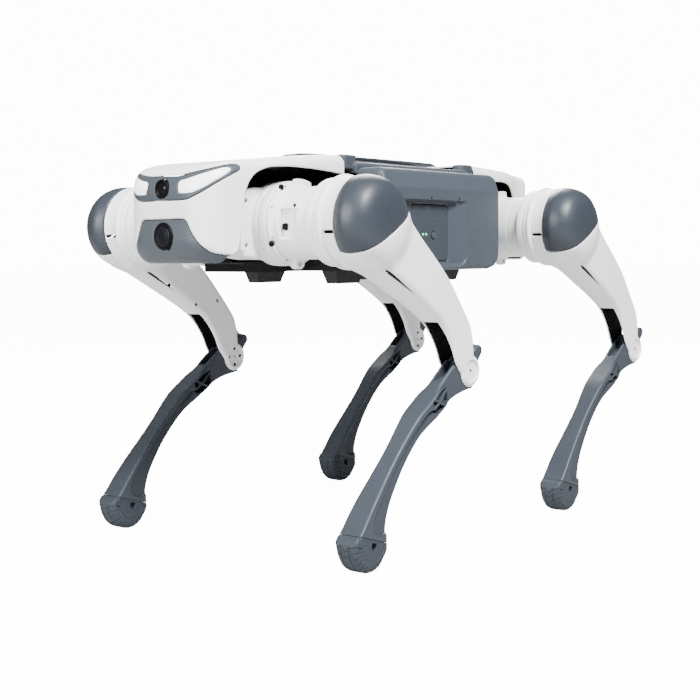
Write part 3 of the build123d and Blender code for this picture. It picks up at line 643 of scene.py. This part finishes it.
PLAN = [(60, 76), (98, 76), (150, 75.5), (185, 72.5), (205, 67.5), (222, 61)]
HEAD_PLAN = PLAN + [(238, 57.9), (250, 55.9), (257, 53.6), (263.5, 49.7), (269.3, 44.2), (273.4, 37),
                    (275.4, 29), (276.2, 15), (276.5, 0)]
TAIL_PLAN = PLAN + [(236, 58.5), (247, 57), (253.5, 54.6), (258, 50), (260.4, 43), (261.6, 26), (261.8, 0)]
HEAD_TOP = [(60, 67), (98, 66.4), (135, 64.8), (180, 61.4), (228, 56.6), (250, 52.6), (262, 50),
            (270.5, 46.6), (280, 40), (292, 30)]
TAIL_TOP = [(60, 67), (98, 66.4), (135, 65.4), (180, 63.4), (228, 61.2), (250, 59.6), (262, 57), (275, 52),
            (292, 44)]
UNDERSIDE = [(292, -17), (280, -26), (267, -31.5), (254, -36), (236, -38.5)]
BELOW_ARCH = [(60, -60), (250, -60)]  # both arches run out below the shell


def end_body(x, y, z, plan, top, radius):
    """Outside of the head or tail: its plan and its side view, rounded together."""
    side = outline_field(x, z, through(top, 6) + through(UNDERSIDE, 6) + [(60, -38.5)])
    return round_max(outline_field(x, y, mirrored(through(plan, 6))), side, radius)


def head_body(x, y, z):
    """The head's edges grow rounder towards the nose."""
    return end_body(x, y, z, HEAD_PLAN, HEAD_TOP, 9.0 + 4.0 * rise(x, 215, 262))


def tail_body(x, y, z):
    return end_body(x, y, z, TAIL_PLAN, TAIL_TOP, 8.0)


def rise(value, start, end):
    """0 before start, 1 after end, and smooth between."""
    t = np.clip((value - start) / (end - start), 0, 1)
    return t * t * (3 - 2 * t)


def tail_arch(x, z):
    """The rear opening is shorter, with a rounder corner."""
    edge = through([(250, -44), (249, -31), (242, -27), (234, -17), (228, 1), (222, 15), (213, 30), (203, 41),
                    (190, 48.5), (174, 50.8), (150, 50), (125, 48), (104, 45.4), (60, 44)], 6)
    return outline_field(x, z, edge + BELOW_ARCH)


def arch(x, z):
    """Opening of the shell around the hip, seen from the side."""
    edge = through([(250, -44), (249, -31), (242, -27.2), (237.4, -20.6), (234.4, 1.3), (231.4, 22.5),
                    (229, 29.5), (225.3, 37), (220, 43.4), (212, 48.2), (201, 50.8), (174, 51.2),
                    (140, 49.4), (104, 46.4), (60, 44.0)], 6)
    return outline_field(x, z, edge + BELOW_ARCH)


def around(x, y):
    """Distance round the front of the head from the middle of the nose."""
    return np.abs(y) + NOSE_X - x


def visor_region(a, z):
    """Outline of the visor, wrapped round the nose."""
    upper = through([(-8, 42.6), (12, 42.0), (24, 42.0), (45.6, 45.0), (68, 48.5), (80.5, 50.7),
                     (91, 51.3)], 5)
    tip = through([(91, 51.3), (96.5, 50.6), (98.6, 48.2), (97, 46.2), (92.8, 44.3)], 4)
    lower = through([(92.8, 44.3), (71.9, 35.8), (51.4, 27.1), (38.9, 22.6), (31, 20.4), (20, 20.0),
                     (-8, 20.0)], 5)
    return outline_field(a, z, upper + tip[1:] + lower[1:])


def light_region(a, z):
    """Outline of one light strip, wrapped the same way."""
    return outline_field(a, z, through([(22.0, 26.2), (21.0, 29), (21.2, 34), (24.0, 37.2), (33.2, 39.0),
                                        (59.8, 44.8), (77.3, 48.4), (83.5, 48.7), (86.6, 46.4), (80.2, 42.0),
                                        (59.6, 33.3), (49.3, 29.4), (39, 26.4), (30, 25.8)], closed=True))


def chin_region(a, z):
    """Outline of the chin panel, wrapped the same way."""
    edge = through([(27.6, 3.4), (30.8, 1.4), (33.6, -3.0), (38.2, -10.2), (46.3, -18.4), (58.4, -24.9),
                    (70.6, -27.7), (84, -28.2), (97, -28.4)], 5)
    return outline_field(a, z, [(-8, 3.6), (27, 3.6)] + edge + [(97, -60), (-8, -60)])


def notch_bosses(shell, x, y, z):
    """Clearance in a white shell for the deck's bosses."""
    for side in (-1, 1):
        boss = block(x, y - side * KNOB_Y, 80, KNOB_X + 11.6, -8.2, 8.2, 4)
        shell = carve(shell, np.maximum(boss, 40 - z))
    return shell


# Painted shade: faces deep inside the head shell are drawn near-black.
def painted_shade_in_head(x, y, z):
    return head_body(x, y, z) < PAINTED_SHADE_DEPTH


# Painted shade: faces deep inside the tail shell are drawn near-black.
def painted_shade_in_tail(x, y, z):
    return tail_body(x, y, z) < PAINTED_SHADE_DEPTH


def build_head():
    """White shell, and the grey visor, chin and light strips that lie flush in it."""
    grid = Grid((SHELL_START - 1, -77.5, -41), (278.5, 77.5, 68), 0.95 * DETAIL)
    x, y, z = grid.u, grid.v, grid.w
    body = head_body(x, y, z)
    shell = round_max(body, -(body + SHELL_WALL), 0.9)
    a = around(x, y)
    ahead = VISOR_BACK - x
    visor = np.maximum(visor_region(a, z), ahead)
    chin = np.maximum(chin_region(a, z), ahead)
    shell = cut(shell, arch(x, z), 0.8)
    shell = cut(shell, visor - SKIN_GAP, 0.5)
    shell = cut(shell, chin - SKIN_GAP, 0.5)
    shell = notch_bosses(shell, x, y, z)
    shell = round_max(shell, SHELL_START - x, 0.8)
    # the shell's inside faces get dark_grille as painted shade
    place("head_skin", polygonise(grid, shell), BODY_MATRIX, "white_plastic", "torso",
          ["head_shell"], ("dark_grille", painted_shade_in_head))

    grid = Grid((VISOR_BACK, -62, -41), (278.5, 62, 56), 0.72 * DETAIL)
    x, y, z = grid.u, grid.v, grid.w
    body = head_body(x, y, z)
    a = around(x, y)
    plate = np.maximum(body, -(body + 3.2))
    lights = light_region(a, z)
    camera_hole = np.hypot(y, z - CAMERA_Z) - 8.8
    visor = round_max(plate, visor_region(a, z) + SKIN_GAP, 0.5)
    visor = cut(visor, np.maximum(lights - SKIN_GAP, -(body + 1.8)), 0.4)
    visor = carve(visor, np.maximum(camera_hole, 250 - x))
    place("visor_skin", polygonise(grid, visor), BODY_MATRIX, "visor_grey", "torso",
          ["head_visor"])
    strips = round_max(np.maximum(body + 0.25, -(body + 2.6)), lights + 0.1, 0.5)
    place("light_diffusers", polygonise(grid, strips), BODY_MATRIX, "light_strip", "torso",
          ["light_strips"])
    chin = round_max(np.maximum(body + 0.9, -(body + 3.9)), chin_region(a, z) + SKIN_GAP, 0.6)
    chin = carve(chin, np.maximum(np.hypot(y, z - SENSOR_Z) - 12.3, 250 - x))
    chin = np.maximum(chin, 184.0 - x)
    chin = cut(chin, arch(x, z), 0.6)
    place("chin_skin", polygonise(grid, chin), BODY_MATRIX, "chin_grey", "torso",
          ["chin_panel"])


def build_tail():
    """The same white shell at the rear, closed, with a joint line round its end cap."""
    grid = Grid((SHELL_START - 1, -77.5, -41), (265, 77.5, 68), 0.95 * DETAIL)
    x, y, z = grid.u, grid.v, grid.w
    body = tail_body(x, y, z)
    line = np.maximum(np.abs(x - 241) - 0.45, -(body + 0.9))
    shell = round_max(body, -(body + SHELL_WALL), 0.9)
    shell = carve(shell, line)
    shell = cut(shell, tail_arch(x, z), 0.8)
    shell = notch_bosses(shell, x, y, z)
    shell = round_max(shell, SHELL_START + 1 - x, 0.8)
    matrix = frame_matrix(CENTRE, (-1, 0, 0), (0, 1, 0), (0, 0, 1))
    # the shell's inside faces get dark_grille as painted shade
    place("tail_skin", polygonise(grid, shell), matrix, "white_plastic", "torso",
          ["tail_shell"], ("dark_grille", painted_shade_in_tail))


def turned(name, x0, x1, centre_z, radius, profile, material, replaced=()):
    """A turned piece along X in the head, from its radius against x."""
    reach = radius + 1
    grid = Grid((x0 - 1, -reach, centre_z - reach), (x1 + 1, reach, centre_z + reach), 0.4 * DETAIL)
    distance = np.hypot(grid.v, grid.w - centre_z)
    field = outline_field(grid.u, distance, profile)
    place(name, polygonise(grid, field), BODY_MATRIX, material, "torso", replaced)


def build_sensors():
    """Bezel and glass of the camera, and of the sensor in the chin."""
    face = NOSE_X + 0.2
    turned("camera_bezel", 258, 276.8, CAMERA_Z, 9,
           [(258, -1), (258, 8.6), (face, 8.6), (face + 0.5, 8.1), (face + 0.5, 7.4), (face - 1.6, 6.2),
            (face - 1.6, -1)], "screw_black", ["front_camera"])
    dome = arc((face - 9.2, 0), 8.6, 44, 0, 10)
    turned("camera_lens", 266, 276, CAMERA_Z, 7, [(266, 6.0)] + dome + [(face - 0.6, -1), (266, -1)],
           "lens_black")
    turned("sensor_bezel", 256, 276.8, SENSOR_Z, 13,
           [(256, -1), (256, 12.1), (274.6, 12.1), (275.9, 11.4), (276.2, 10.6), (275.4, 9.6), (275.4, -1)],
           "screw_black", ["chin_sensor"])
    turned("sensor_window", 273, 276.8, SENSOR_Z, 10,
           [(273, -1), (273, 9.2), (275.6, 9.2), (276.1, 8.4), (276.5, 5.9), (276.1, 5.5), (276.5, 5.1),
            (276.6, -1)], "sensor_glass")


# ---------------------------------------- middle covers
def build_side_covers():
    """Grey side covers, each with a scooped recess; the left one opens on the battery."""
    grid = Grid((PANEL_BACK - 1, 70, PANEL_LOW - 1), (PANEL_FRONT + 1, PANEL_Y + 1, 56), 0.85 * DETAIL)
    x, y, z = grid.u, grid.v, grid.w
    outline = outline_field(x, z, [(PANEL_BACK, 48), (PANEL_BACK, -31), (-100.6, -37), (-94.5, -42.4),
                                   (-84, PANEL_LOW), (84, PANEL_LOW),
                                   (PANEL_FRONT, -34), (PANEL_FRONT, 50), (93, 54), (-95, 54), (-101, 52)])
    upper = (y - PANEL_Y + CREASE_SLOPE * (z - CREASE_Z)) / math.hypot(1, CREASE_SLOPE)
    face = np.maximum(y - PANEL_Y, upper)
    cover = round_max(outline, face, 5.0)
    cover = np.maximum(cover, 79.4 - y)
    inside = np.maximum(outline + 3.0, np.maximum(y - (PANEL_Y - 9.0), 70 - y))
    cover = carve(cover, inside)
    lower = outline_field(x, z, arc((-22, -22.8), 20, 180, 270) + arc((66, -22.8), 20, 270, 360)
                          + [(RECESS_FRONT, RECESS_TOP), (RECESS_BACK, RECESS_TOP)])
    ramps = np.clip((x - RECESS_BACK) / 26, 0, 1) * np.clip((RECESS_FRONT - x) / 30, 0, 1)
    depth = RECESS_DEPTH * ramps * rise(z, -43.2, -38.5)
    scoop = np.maximum(np.maximum(lower, z - RECESS_TOP), PANEL_Y - depth - y)
    cover = cut(cover, scoop, 0.5)
    for notch_x in NOTCHES:
        notch = round_max(slab(x, notch_x - 1.6, notch_x + 1.6), slab(z, 22, 27.5), 1.2)
        cover = carve(cover, np.maximum(notch, PANEL_Y - 2.4 - y))
    plain = polygonise(grid, cover)
    bay = np.maximum(block(x, z, -15.4, 47.4, -36.4, 20.4, 3.2), 90 - y)
    opened = polygonise(grid, cut(cover, bay, 0.6))
    other_side = frame_matrix(CENTRE, (1, 0, 0), (0, -1, 0), (0, 0, 1))
    place("left_cover_skin", opened, BODY_MATRIX, "grey_plastic", "torso", ["side_covers"])
    place("right_cover_skin", plain, other_side, "grey_plastic", "torso")


def build_battery_face():
    """The battery's outer face: a door with a finger grip, joint lines and charge lights."""
    grid = Grid((-16, 60, -37), (48, 109, 21), 0.8 * DETAIL)
    x, y, z = grid.u, grid.v, grid.w
    pack = round_max(block(x, z, *DOOR, 3.0), y - DOOR_Y, 1.0)
    pack = np.maximum(pack, 62 - y)
    line = np.minimum(np.abs(z - 2.3) - 0.3, np.abs(z - 12.9) - 0.3)
    pack = carve(pack, np.maximum(line, np.maximum(slab(x, -12, 44), DOOR_Y - 0.6 - y)))
    grip = block(x, z, 23.0, 43.0, -32.0, -18.0, 4.0)
    pack = cut(pack, np.maximum(grip, 102.5 - y), 0.8)
    button = np.maximum(np.hypot(x - BUTTON[0], z - BUTTON[1]) - 3.8, 104.2 - y)
    pack = carve(pack, button)
    for led in (0, 1):
        seat = block(x - LED_STEP * led, z, 20.7, 23.5, -10.7, -8.1, 0.5)
        pack = carve(pack, np.maximum(seat, 107.2 - y))
    place("battery_skin", polygonise(grid, pack), BODY_MATRIX, "battery_case", "battery",
          ["battery"])

    grid = Grid((19, 106, -12), (31, 108.4, -6), 0.3 * DETAIL)
    x, y, z = grid.u, grid.v, grid.w
    leds = np.full(grid.shape, 9.0)
    for led in (0, 1):
        lamp = block(x - LED_STEP * led, z, 20.9, 23.3, -10.5, -8.3, 0.4)
        leds = np.minimum(leds, round_max(lamp, slab(y, 106.4, 107.8), 0.2))
    place("charge_lights", polygonise(grid, leds), BODY_MATRIX, "led_green", "battery")


def build_deck():
    """Grey deck between the white shells, with four round-cornered bosses and the carry bar."""
    grid = Grid((-114, -80, 46), (114, 80, 68), 0.8 * DETAIL)
    x, y, z = grid.u, grid.v, grid.w
    deck = np.maximum(slab(x, -98.5, PANEL_FRONT - 0.3), np.abs(y) - 79.2)
    crown = 60.0 + 1.6 * (1 - (y / 79.0) ** 2)
    deck = round_max(deck, z - crown, 5.0)
    groove = np.maximum(np.abs(np.abs(y) - 30.0) - 0.5, crown - 0.9 - z)
    deck = carve(deck, np.maximum(groove, np.abs(x) - 84))
    deck = carve(deck, np.maximum(np.maximum(np.abs(x) - 94, np.abs(y) - 75), z - 56.5))
    deck = np.maximum(deck, 48.5 - z)
    for boss_x in (-KNOB_X, KNOB_X):
        for boss_y in (-KNOB_Y, KNOB_Y):
            boss = block(x - boss_x, y - boss_y, -11, 11, -7.5, 7.5, 5.0)
            boss = round_max(boss, slab(z, 52, 66.5), 2.0)
            deck = np.minimum(deck, boss)
            hole = np.hypot(x - boss_x, y - boss_y) - 2.15
            deck = carve(deck, np.maximum(hole, 55 - z))
    place("deck_skin", polygonise(grid, deck), BODY_MATRIX, "grey_plastic", "torso",
          ["top_cover"])

    grid = Grid((-141, -10, 59), (138, 10, 74), 0.7 * DETAIL)
    x, y, z = grid.u, grid.v, grid.w
    top = through([(112, 64.2), (109, 67.6), (104, 70.4), (88, 72.2), (40, 72.8), (-110, 72.8),
                   (-132, 71.6), (-139.5, 69.2)], 5)
    under = through([(-139.5, 68.0), (-118, 68.0), (-40, 69), (66, 69), (84, 66.5), (92, 62.0), (98, 60.2),
                     (112, 60.2)], 5)
    bar = round_max(outline_field(x, z, top + under), np.abs(y) - 8.6, 1.6)
    rear_foot = round_max(block(x, z, -139, -120, 60, 70, 2.0), np.abs(y) - 7.5, 1.2)
    place("carry_bar", polygonise(grid, np.minimum(bar, rear_foot)), BODY_MATRIX, "cap_grey", "torso",
          ["carry_handle"])


# ---------------------------------------- hip modules
FLANGE_RADIUS = 35.9                  # circle of the motor's flange screws
FLANGE_ANGLES = [22.5 + 45.0 * i for i in range(8)]
NOTCH_RADIUS = 37.6
NOTCH_ANGLES = (60, 200, 330)
BRACKET_HOLES = ((-40, 24), (-40, -24), (44, 20), (44, -20))


def build_hips():
    """Bracket block and ring, and the stepped pitch actuator with its screws and lugs."""
    grid = Grid((-50.5, -43, 6), (66.5, 41, 67), 0.85 * DETAIL)
    u, v, w = grid.u, grid.v, grid.w
    inward = through([(-49.5, 20), (-49.5, -20), (-46, -29), (-36, -33)], 4)
    outward = [(30, -33), (46, -31), (51.5, -22), (51.5, 22), (46, 31), (30, 33), (-36, 33)]
    closing = through([(-36, 33), (-46, 29), (-49.5, 20)], 4)[1:-1]
    profile = outline_field(u, v, inward + outward + closing)
    block_field = round_max(profile, slab(w, 20, 49.0), 4.0)
    barrel = round_max(np.hypot(v, w - ROLL_Y) - 28.0, slab(u, -49.5, 51.5), 2.0)
    barrel = np.maximum(barrel, w - 49.0)
    boss = round_max(np.hypot(v, w - ROLL_Y) - 13.0, slab(u, 40, 65.5), 1.5)
    bracket = round_min(np.minimum(block_field, barrel), boss, 2.0)
    radius = np.hypot(u, v)
    ring = outline_field(radius, w, [(-1, 44), (38.6, 44), (39, 50), (39, 55.4), (37.8, 56.0), (37.8, 57.4),
                                     (38.8, 58.2), (38.8, 65.2), (38.0, 66.0), (-1, 66.0)])
    bracket = round_min(bracket, ring, 1.5)
    bracket = carve(bracket, np.maximum(radius - 33.6, 50 - w))
    for spot in BRACKET_HOLES:
        bracket = carve(bracket, np.maximum(round_hole(u, v, spot, 2.2), 43 - w))
    for end in (-1, 1):
        bore = np.hypot(v, w - ROLL_Y) - 5.05
        reach = (u - 53) if end > 0 else (-36 - u)
        bracket = carve(bracket, np.maximum(bore, -reach))
    solid = polygonise(grid, bracket)

    grid = Grid((-43, -44, 49), (43, 42, 118), 0.8 * DETAIL)
    u, v, w = grid.u, grid.v, grid.w
    radius = np.hypot(u, v)
    motor = outline_field(radius, w, [(-1, 50.5), (33.4, 50.5), (33.4, 66.2), (37.6, 66.4), (38.0, 67.0),
                                      (38.0, 69.6), (37.4, 70.2), (34.6, 70.4), (34.2, 71.0), (34.2, 76.2),
                                      (33.6, 77.0), (33.0, 77.4), (33.0, 98.4), (32.4, 98.9), (32.4, 99.5),
                                      (33.0, 100), (33.0, 111), (32.0, 112.0), (12, 112), (11.8, 117),
                                      (-1, 117)])
    for angle in FLANGE_ANGLES:
        hole = round_hole(u, v, on_circle(FLANGE_RADIUS, angle), 1.25)
        motor = carve(motor, np.maximum(hole, 66.5 - w))
    for angle in NOTCH_ANGLES:
        notch = round_hole(u, v, on_circle(NOTCH_RADIUS, angle), 3.4)
        motor = carve(motor, np.maximum(notch, 68.0 - w))
    lug = block(u, v, -6.5, 6.5, -42, -26, 6.0)
    lug = round_max(lug, slab(w, 66.4, 74.6), 1.0)
    motor = round_min(motor, lug, 1.5)
    motor = carve(motor, np.maximum(np.hypot(u, v + 37.0) - 2.2, 70 - w))
    top_lug = round_max(block(u, v, -16, 6, 26, 41, 4.0), slab(w, 70, 75.0), 1.0)
    motor = round_min(motor, np.maximum(top_lug, radius - 40.5), 1.0)
    step_face = np.maximum(np.maximum(27.8 - u, slab(w, 77.6, 97.6)), v - 12.0)
    step_face = np.maximum(step_face, -14.0 - v)
    motor = cut(motor, step_face, 0.4)
    socket = np.maximum(block(v, w, -6.5, -0.5, 79.0, 84.0, 0.8), 24.0 - u)
    motor = carve(motor, socket)
    for pin_v in (4.2, 8.4):
        pin = np.maximum(np.hypot(v - pin_v, w - 81.5) - 0.8, 25 - u)
        motor = carve(motor, pin)
    vent = np.maximum(np.hypot(v - 14.8, w - 92.5) - 2.3, 22 - u)
    motor = carve(motor, vent)
    motor_solid = polygonise(grid, motor)

    grid = Grid((-52, -44, 38), (53, 42, 100), 0.8 * DETAIL)
    u, v, w = grid.u, grid.v, grid.w
    dark = np.full(grid.shape, 50.0)
    for angle in FLANGE_ANGLES:
        screw = round_hole(u, v, on_circle(FLANGE_RADIUS, angle), 1.2)
        dark = np.minimum(dark, np.maximum(screw, slab(w, 66, 68.6)))
    for spot in BRACKET_HOLES:
        dark = np.minimum(dark, np.maximum(round_hole(u, v, spot, 2.1), slab(w, 42, 46.5)))
    for angle in NOTCH_ANGLES:
        head = round_hole(u, v, on_circle(NOTCH_RADIUS, angle), 2.7)
        dark = np.minimum(dark, round_max(head, slab(w, 67, 69.8), 0.5))
    dark = np.minimum(dark, np.maximum(block(v, w, -6.3, -0.7, 79.2, 83.8, 0.8), slab(u, 23, 30.5)))
    dark = np.minimum(dark, np.maximum(np.hypot(v - 14.8, w - 92.5) - 2.2, slab(u, 21, 27.0)))
    fasteners = polygonise(grid, dark)
    for corner in CORNERS:
        matrix = hip_matrix(corner)
        place(corner + "_bracket_skin", solid, matrix, "white_plastic", corner + "_hip",
              [corner + "_hip_bracket"])
        place(corner + "_motor_skin", motor_solid, matrix, "white_plastic", corner + "_hip",
              [corner + "_hip_motor"])
        place(corner + "_hip_fasteners", fasteners, matrix, "screw_black", corner + "_hip")


# ---------------------------------------- belly and core
def build_belly():
    """Ribbed rails under the hips, and the dark frame seen through the arches."""
    grid = Grid((114, -29, -46), (201, 29, -33), 0.7 * DETAIL)
    x, y, z = grid.u, grid.v, grid.w
    ends = outline_field(x, z, [(115, -44.4), (190, -44.4), (198, -35), (115, -35)])
    pan = round_max(ends, np.abs(y) - 27.8, 1.2)
    pitch = 11.0
    cell = np.abs((x - 115) % pitch - pitch / 2) - 4.2
    side_cell = round_max(cell, slab(z, -42.6, -36.6), 1.8)
    pan = carve(pan, np.maximum(side_cell, 24.6 - np.abs(y)))
    under_cell = round_max(cell, np.abs(np.abs(y) - 13) - 10, 2.0)
    pan = carve(pan, np.maximum(under_cell, z + 42.6))
    rail = polygonise(grid, pan)

    grid = Grid((114, -27, 20), (229, 27, 55), 0.9 * DETAIL)
    x, y, z = grid.u, grid.v, grid.w
    core = round_max(np.maximum(slab(x, 115, 227), np.abs(y) - 22.0), slab(z, 22, 52), 2.0)
    pitch = 28.0
    bay = np.abs((x - 115) % pitch - pitch / 2) - 11.6
    core = carve(core, np.maximum(np.maximum(bay, slab(z, 27, 47)), 17.5 - np.abs(y)))
    ledge = round_max(np.maximum(slab(x, 115, 227), np.abs(y) - 26.0), slab(z, 44.4, 46.2), 0.6)
    frame_solid = polygonise(grid, np.minimum(core, ledge))
    for name, end in (("front", 1), ("rear", -1)):
        matrix = frame_matrix(CENTRE, (end, 0, 0), (0, 1, 0), (0, 0, 1))
        place(name + "_belly_rail", rail, matrix, "black_chassis", "torso")
        place(name + "_core_frame", frame_solid, matrix, "dark_grille", "torso")


# ---------------------------------------- floor, light and camera
def stage_floor():
    """A pale floor, white to the camera and dull as a light."""
    bpy.ops.mesh.primitive_plane_add(size=40)
    floor = bpy.context.object
    floor.name = "floor"
    material = moulded("floor_pale", (0.45, 0.45, 0.45), 0.7, spread=0.003)
    floor.data.materials.append(material)
    tree = material.node_tree
    shader = tree.nodes["Principled BSDF"]
    shader.inputs["Emission Color"].default_value = (1.0, 1.0, 1.0, 1.0)
    path = tree.nodes.new("ShaderNodeLightPath")
    seen = tree.nodes.new("ShaderNodeMath")
    seen.operation = "MULTIPLY"
    seen.inputs[1].default_value = 13.5
    tree.links.new(path.outputs["Is Camera Ray"], seen.inputs[0])
    tree.links.new(seen.outputs[0], shader.inputs["Emission Strength"])


def area_light(name, position, size, power, target):
    """A round light that faces its target."""
    light = bpy.data.lights.new(name, "AREA")
    light.shape = "DISK"
    light.size = size
    light.energy = power
    obj = bpy.data.objects.new(name, light)
    obj.location = position
    obj.rotation_euler = (Vector(target) - Vector(position)).to_track_quat("-Z", "Y").to_euler()
    bpy.context.scene.collection.objects.link(obj)


def studio():
    """A white studio: bright to the camera, and softer as a light, so that shapes keep contrast."""
    world = bpy.data.worlds.new("studio")
    bpy.context.scene.world = world
    world.use_nodes = True
    tree = world.node_tree
    output = tree.nodes["World Output"]
    lit = tree.nodes["Background"]
    lit.inputs["Strength"].default_value = 0.24
    seen = tree.nodes.new("ShaderNodeBackground")
    seen.inputs["Strength"].default_value = 14.0
    for background in (lit, seen):
        background.inputs["Color"].default_value = (1.0, 1.0, 1.0, 1.0)
    path = tree.nodes.new("ShaderNodeLightPath")
    mix = tree.nodes.new("ShaderNodeMixShader")
    tree.links.new(path.outputs["Is Camera Ray"], mix.inputs[0])
    tree.links.new(lit.outputs[0], mix.inputs[1])
    tree.links.new(seen.outputs[0], mix.inputs[2])
    tree.links.new(mix.outputs[0], output.inputs["Surface"])
    middle = tuple(CENTRE)
    area_light("key", (0.7, 1.5, 2.2), 0.9, 260, middle)
    area_light("front_fill", (2.4, -0.3, 1.0), 1.5, 105, middle)
    area_light("rim", (-1.6, -1.2, 1.6), 1.0, 60, middle)


def camera():
    """The photograph's view, solved from the robot's own geometry."""
    yaw, pitch, roll = math.radians(128.816), math.radians(4.260), math.radians(-0.406)
    back = Vector((math.sin(yaw) * math.cos(pitch), -math.cos(yaw) * math.cos(pitch), math.sin(pitch)))
    right = (-back).cross(Vector((0, 0, 1))).normalized()
    up = right.cross(-back)
    turned_right = math.cos(roll) * right + math.sin(roll) * up
    turned_up = -math.sin(roll) * right + math.cos(roll) * up
    rotation = Matrix((turned_right, turned_up, back)).transposed()
    data = bpy.data.cameras.new("camera")
    data.sensor_width = 36.0
    focal = 1295.07                   # in widths of a pixel, 700 to the picture
    data.lens = 36.0 * focal / 700
    obj = bpy.data.objects.new("camera", data)
    place_at = CENTRE + Vector((1.0748, 0.8563, -0.0279))
    obj.matrix_world = Matrix.Translation(place_at) @ rotation.to_4x4()
    bpy.context.scene.collection.objects.link(obj)
    bpy.context.scene.camera = obj


def recolour_cad():
    """Every CAD node that still shows gets its slot's material."""
    slots = {part["node"]: part["material_slot"] for part in frame["record"]["subparts"]}
    for name, node in frame["nodes"].items():
        node.data.materials.clear()
        node.data.materials.append(MATERIALS[slots[name]])


recolour_cad()
build_thighs()
build_shanks()
build_feet()
build_head()
build_tail()
build_sensors()
build_side_covers()
build_battery_face()
build_deck()
build_hips()
build_belly()
stage_floor()
studio()
camera()
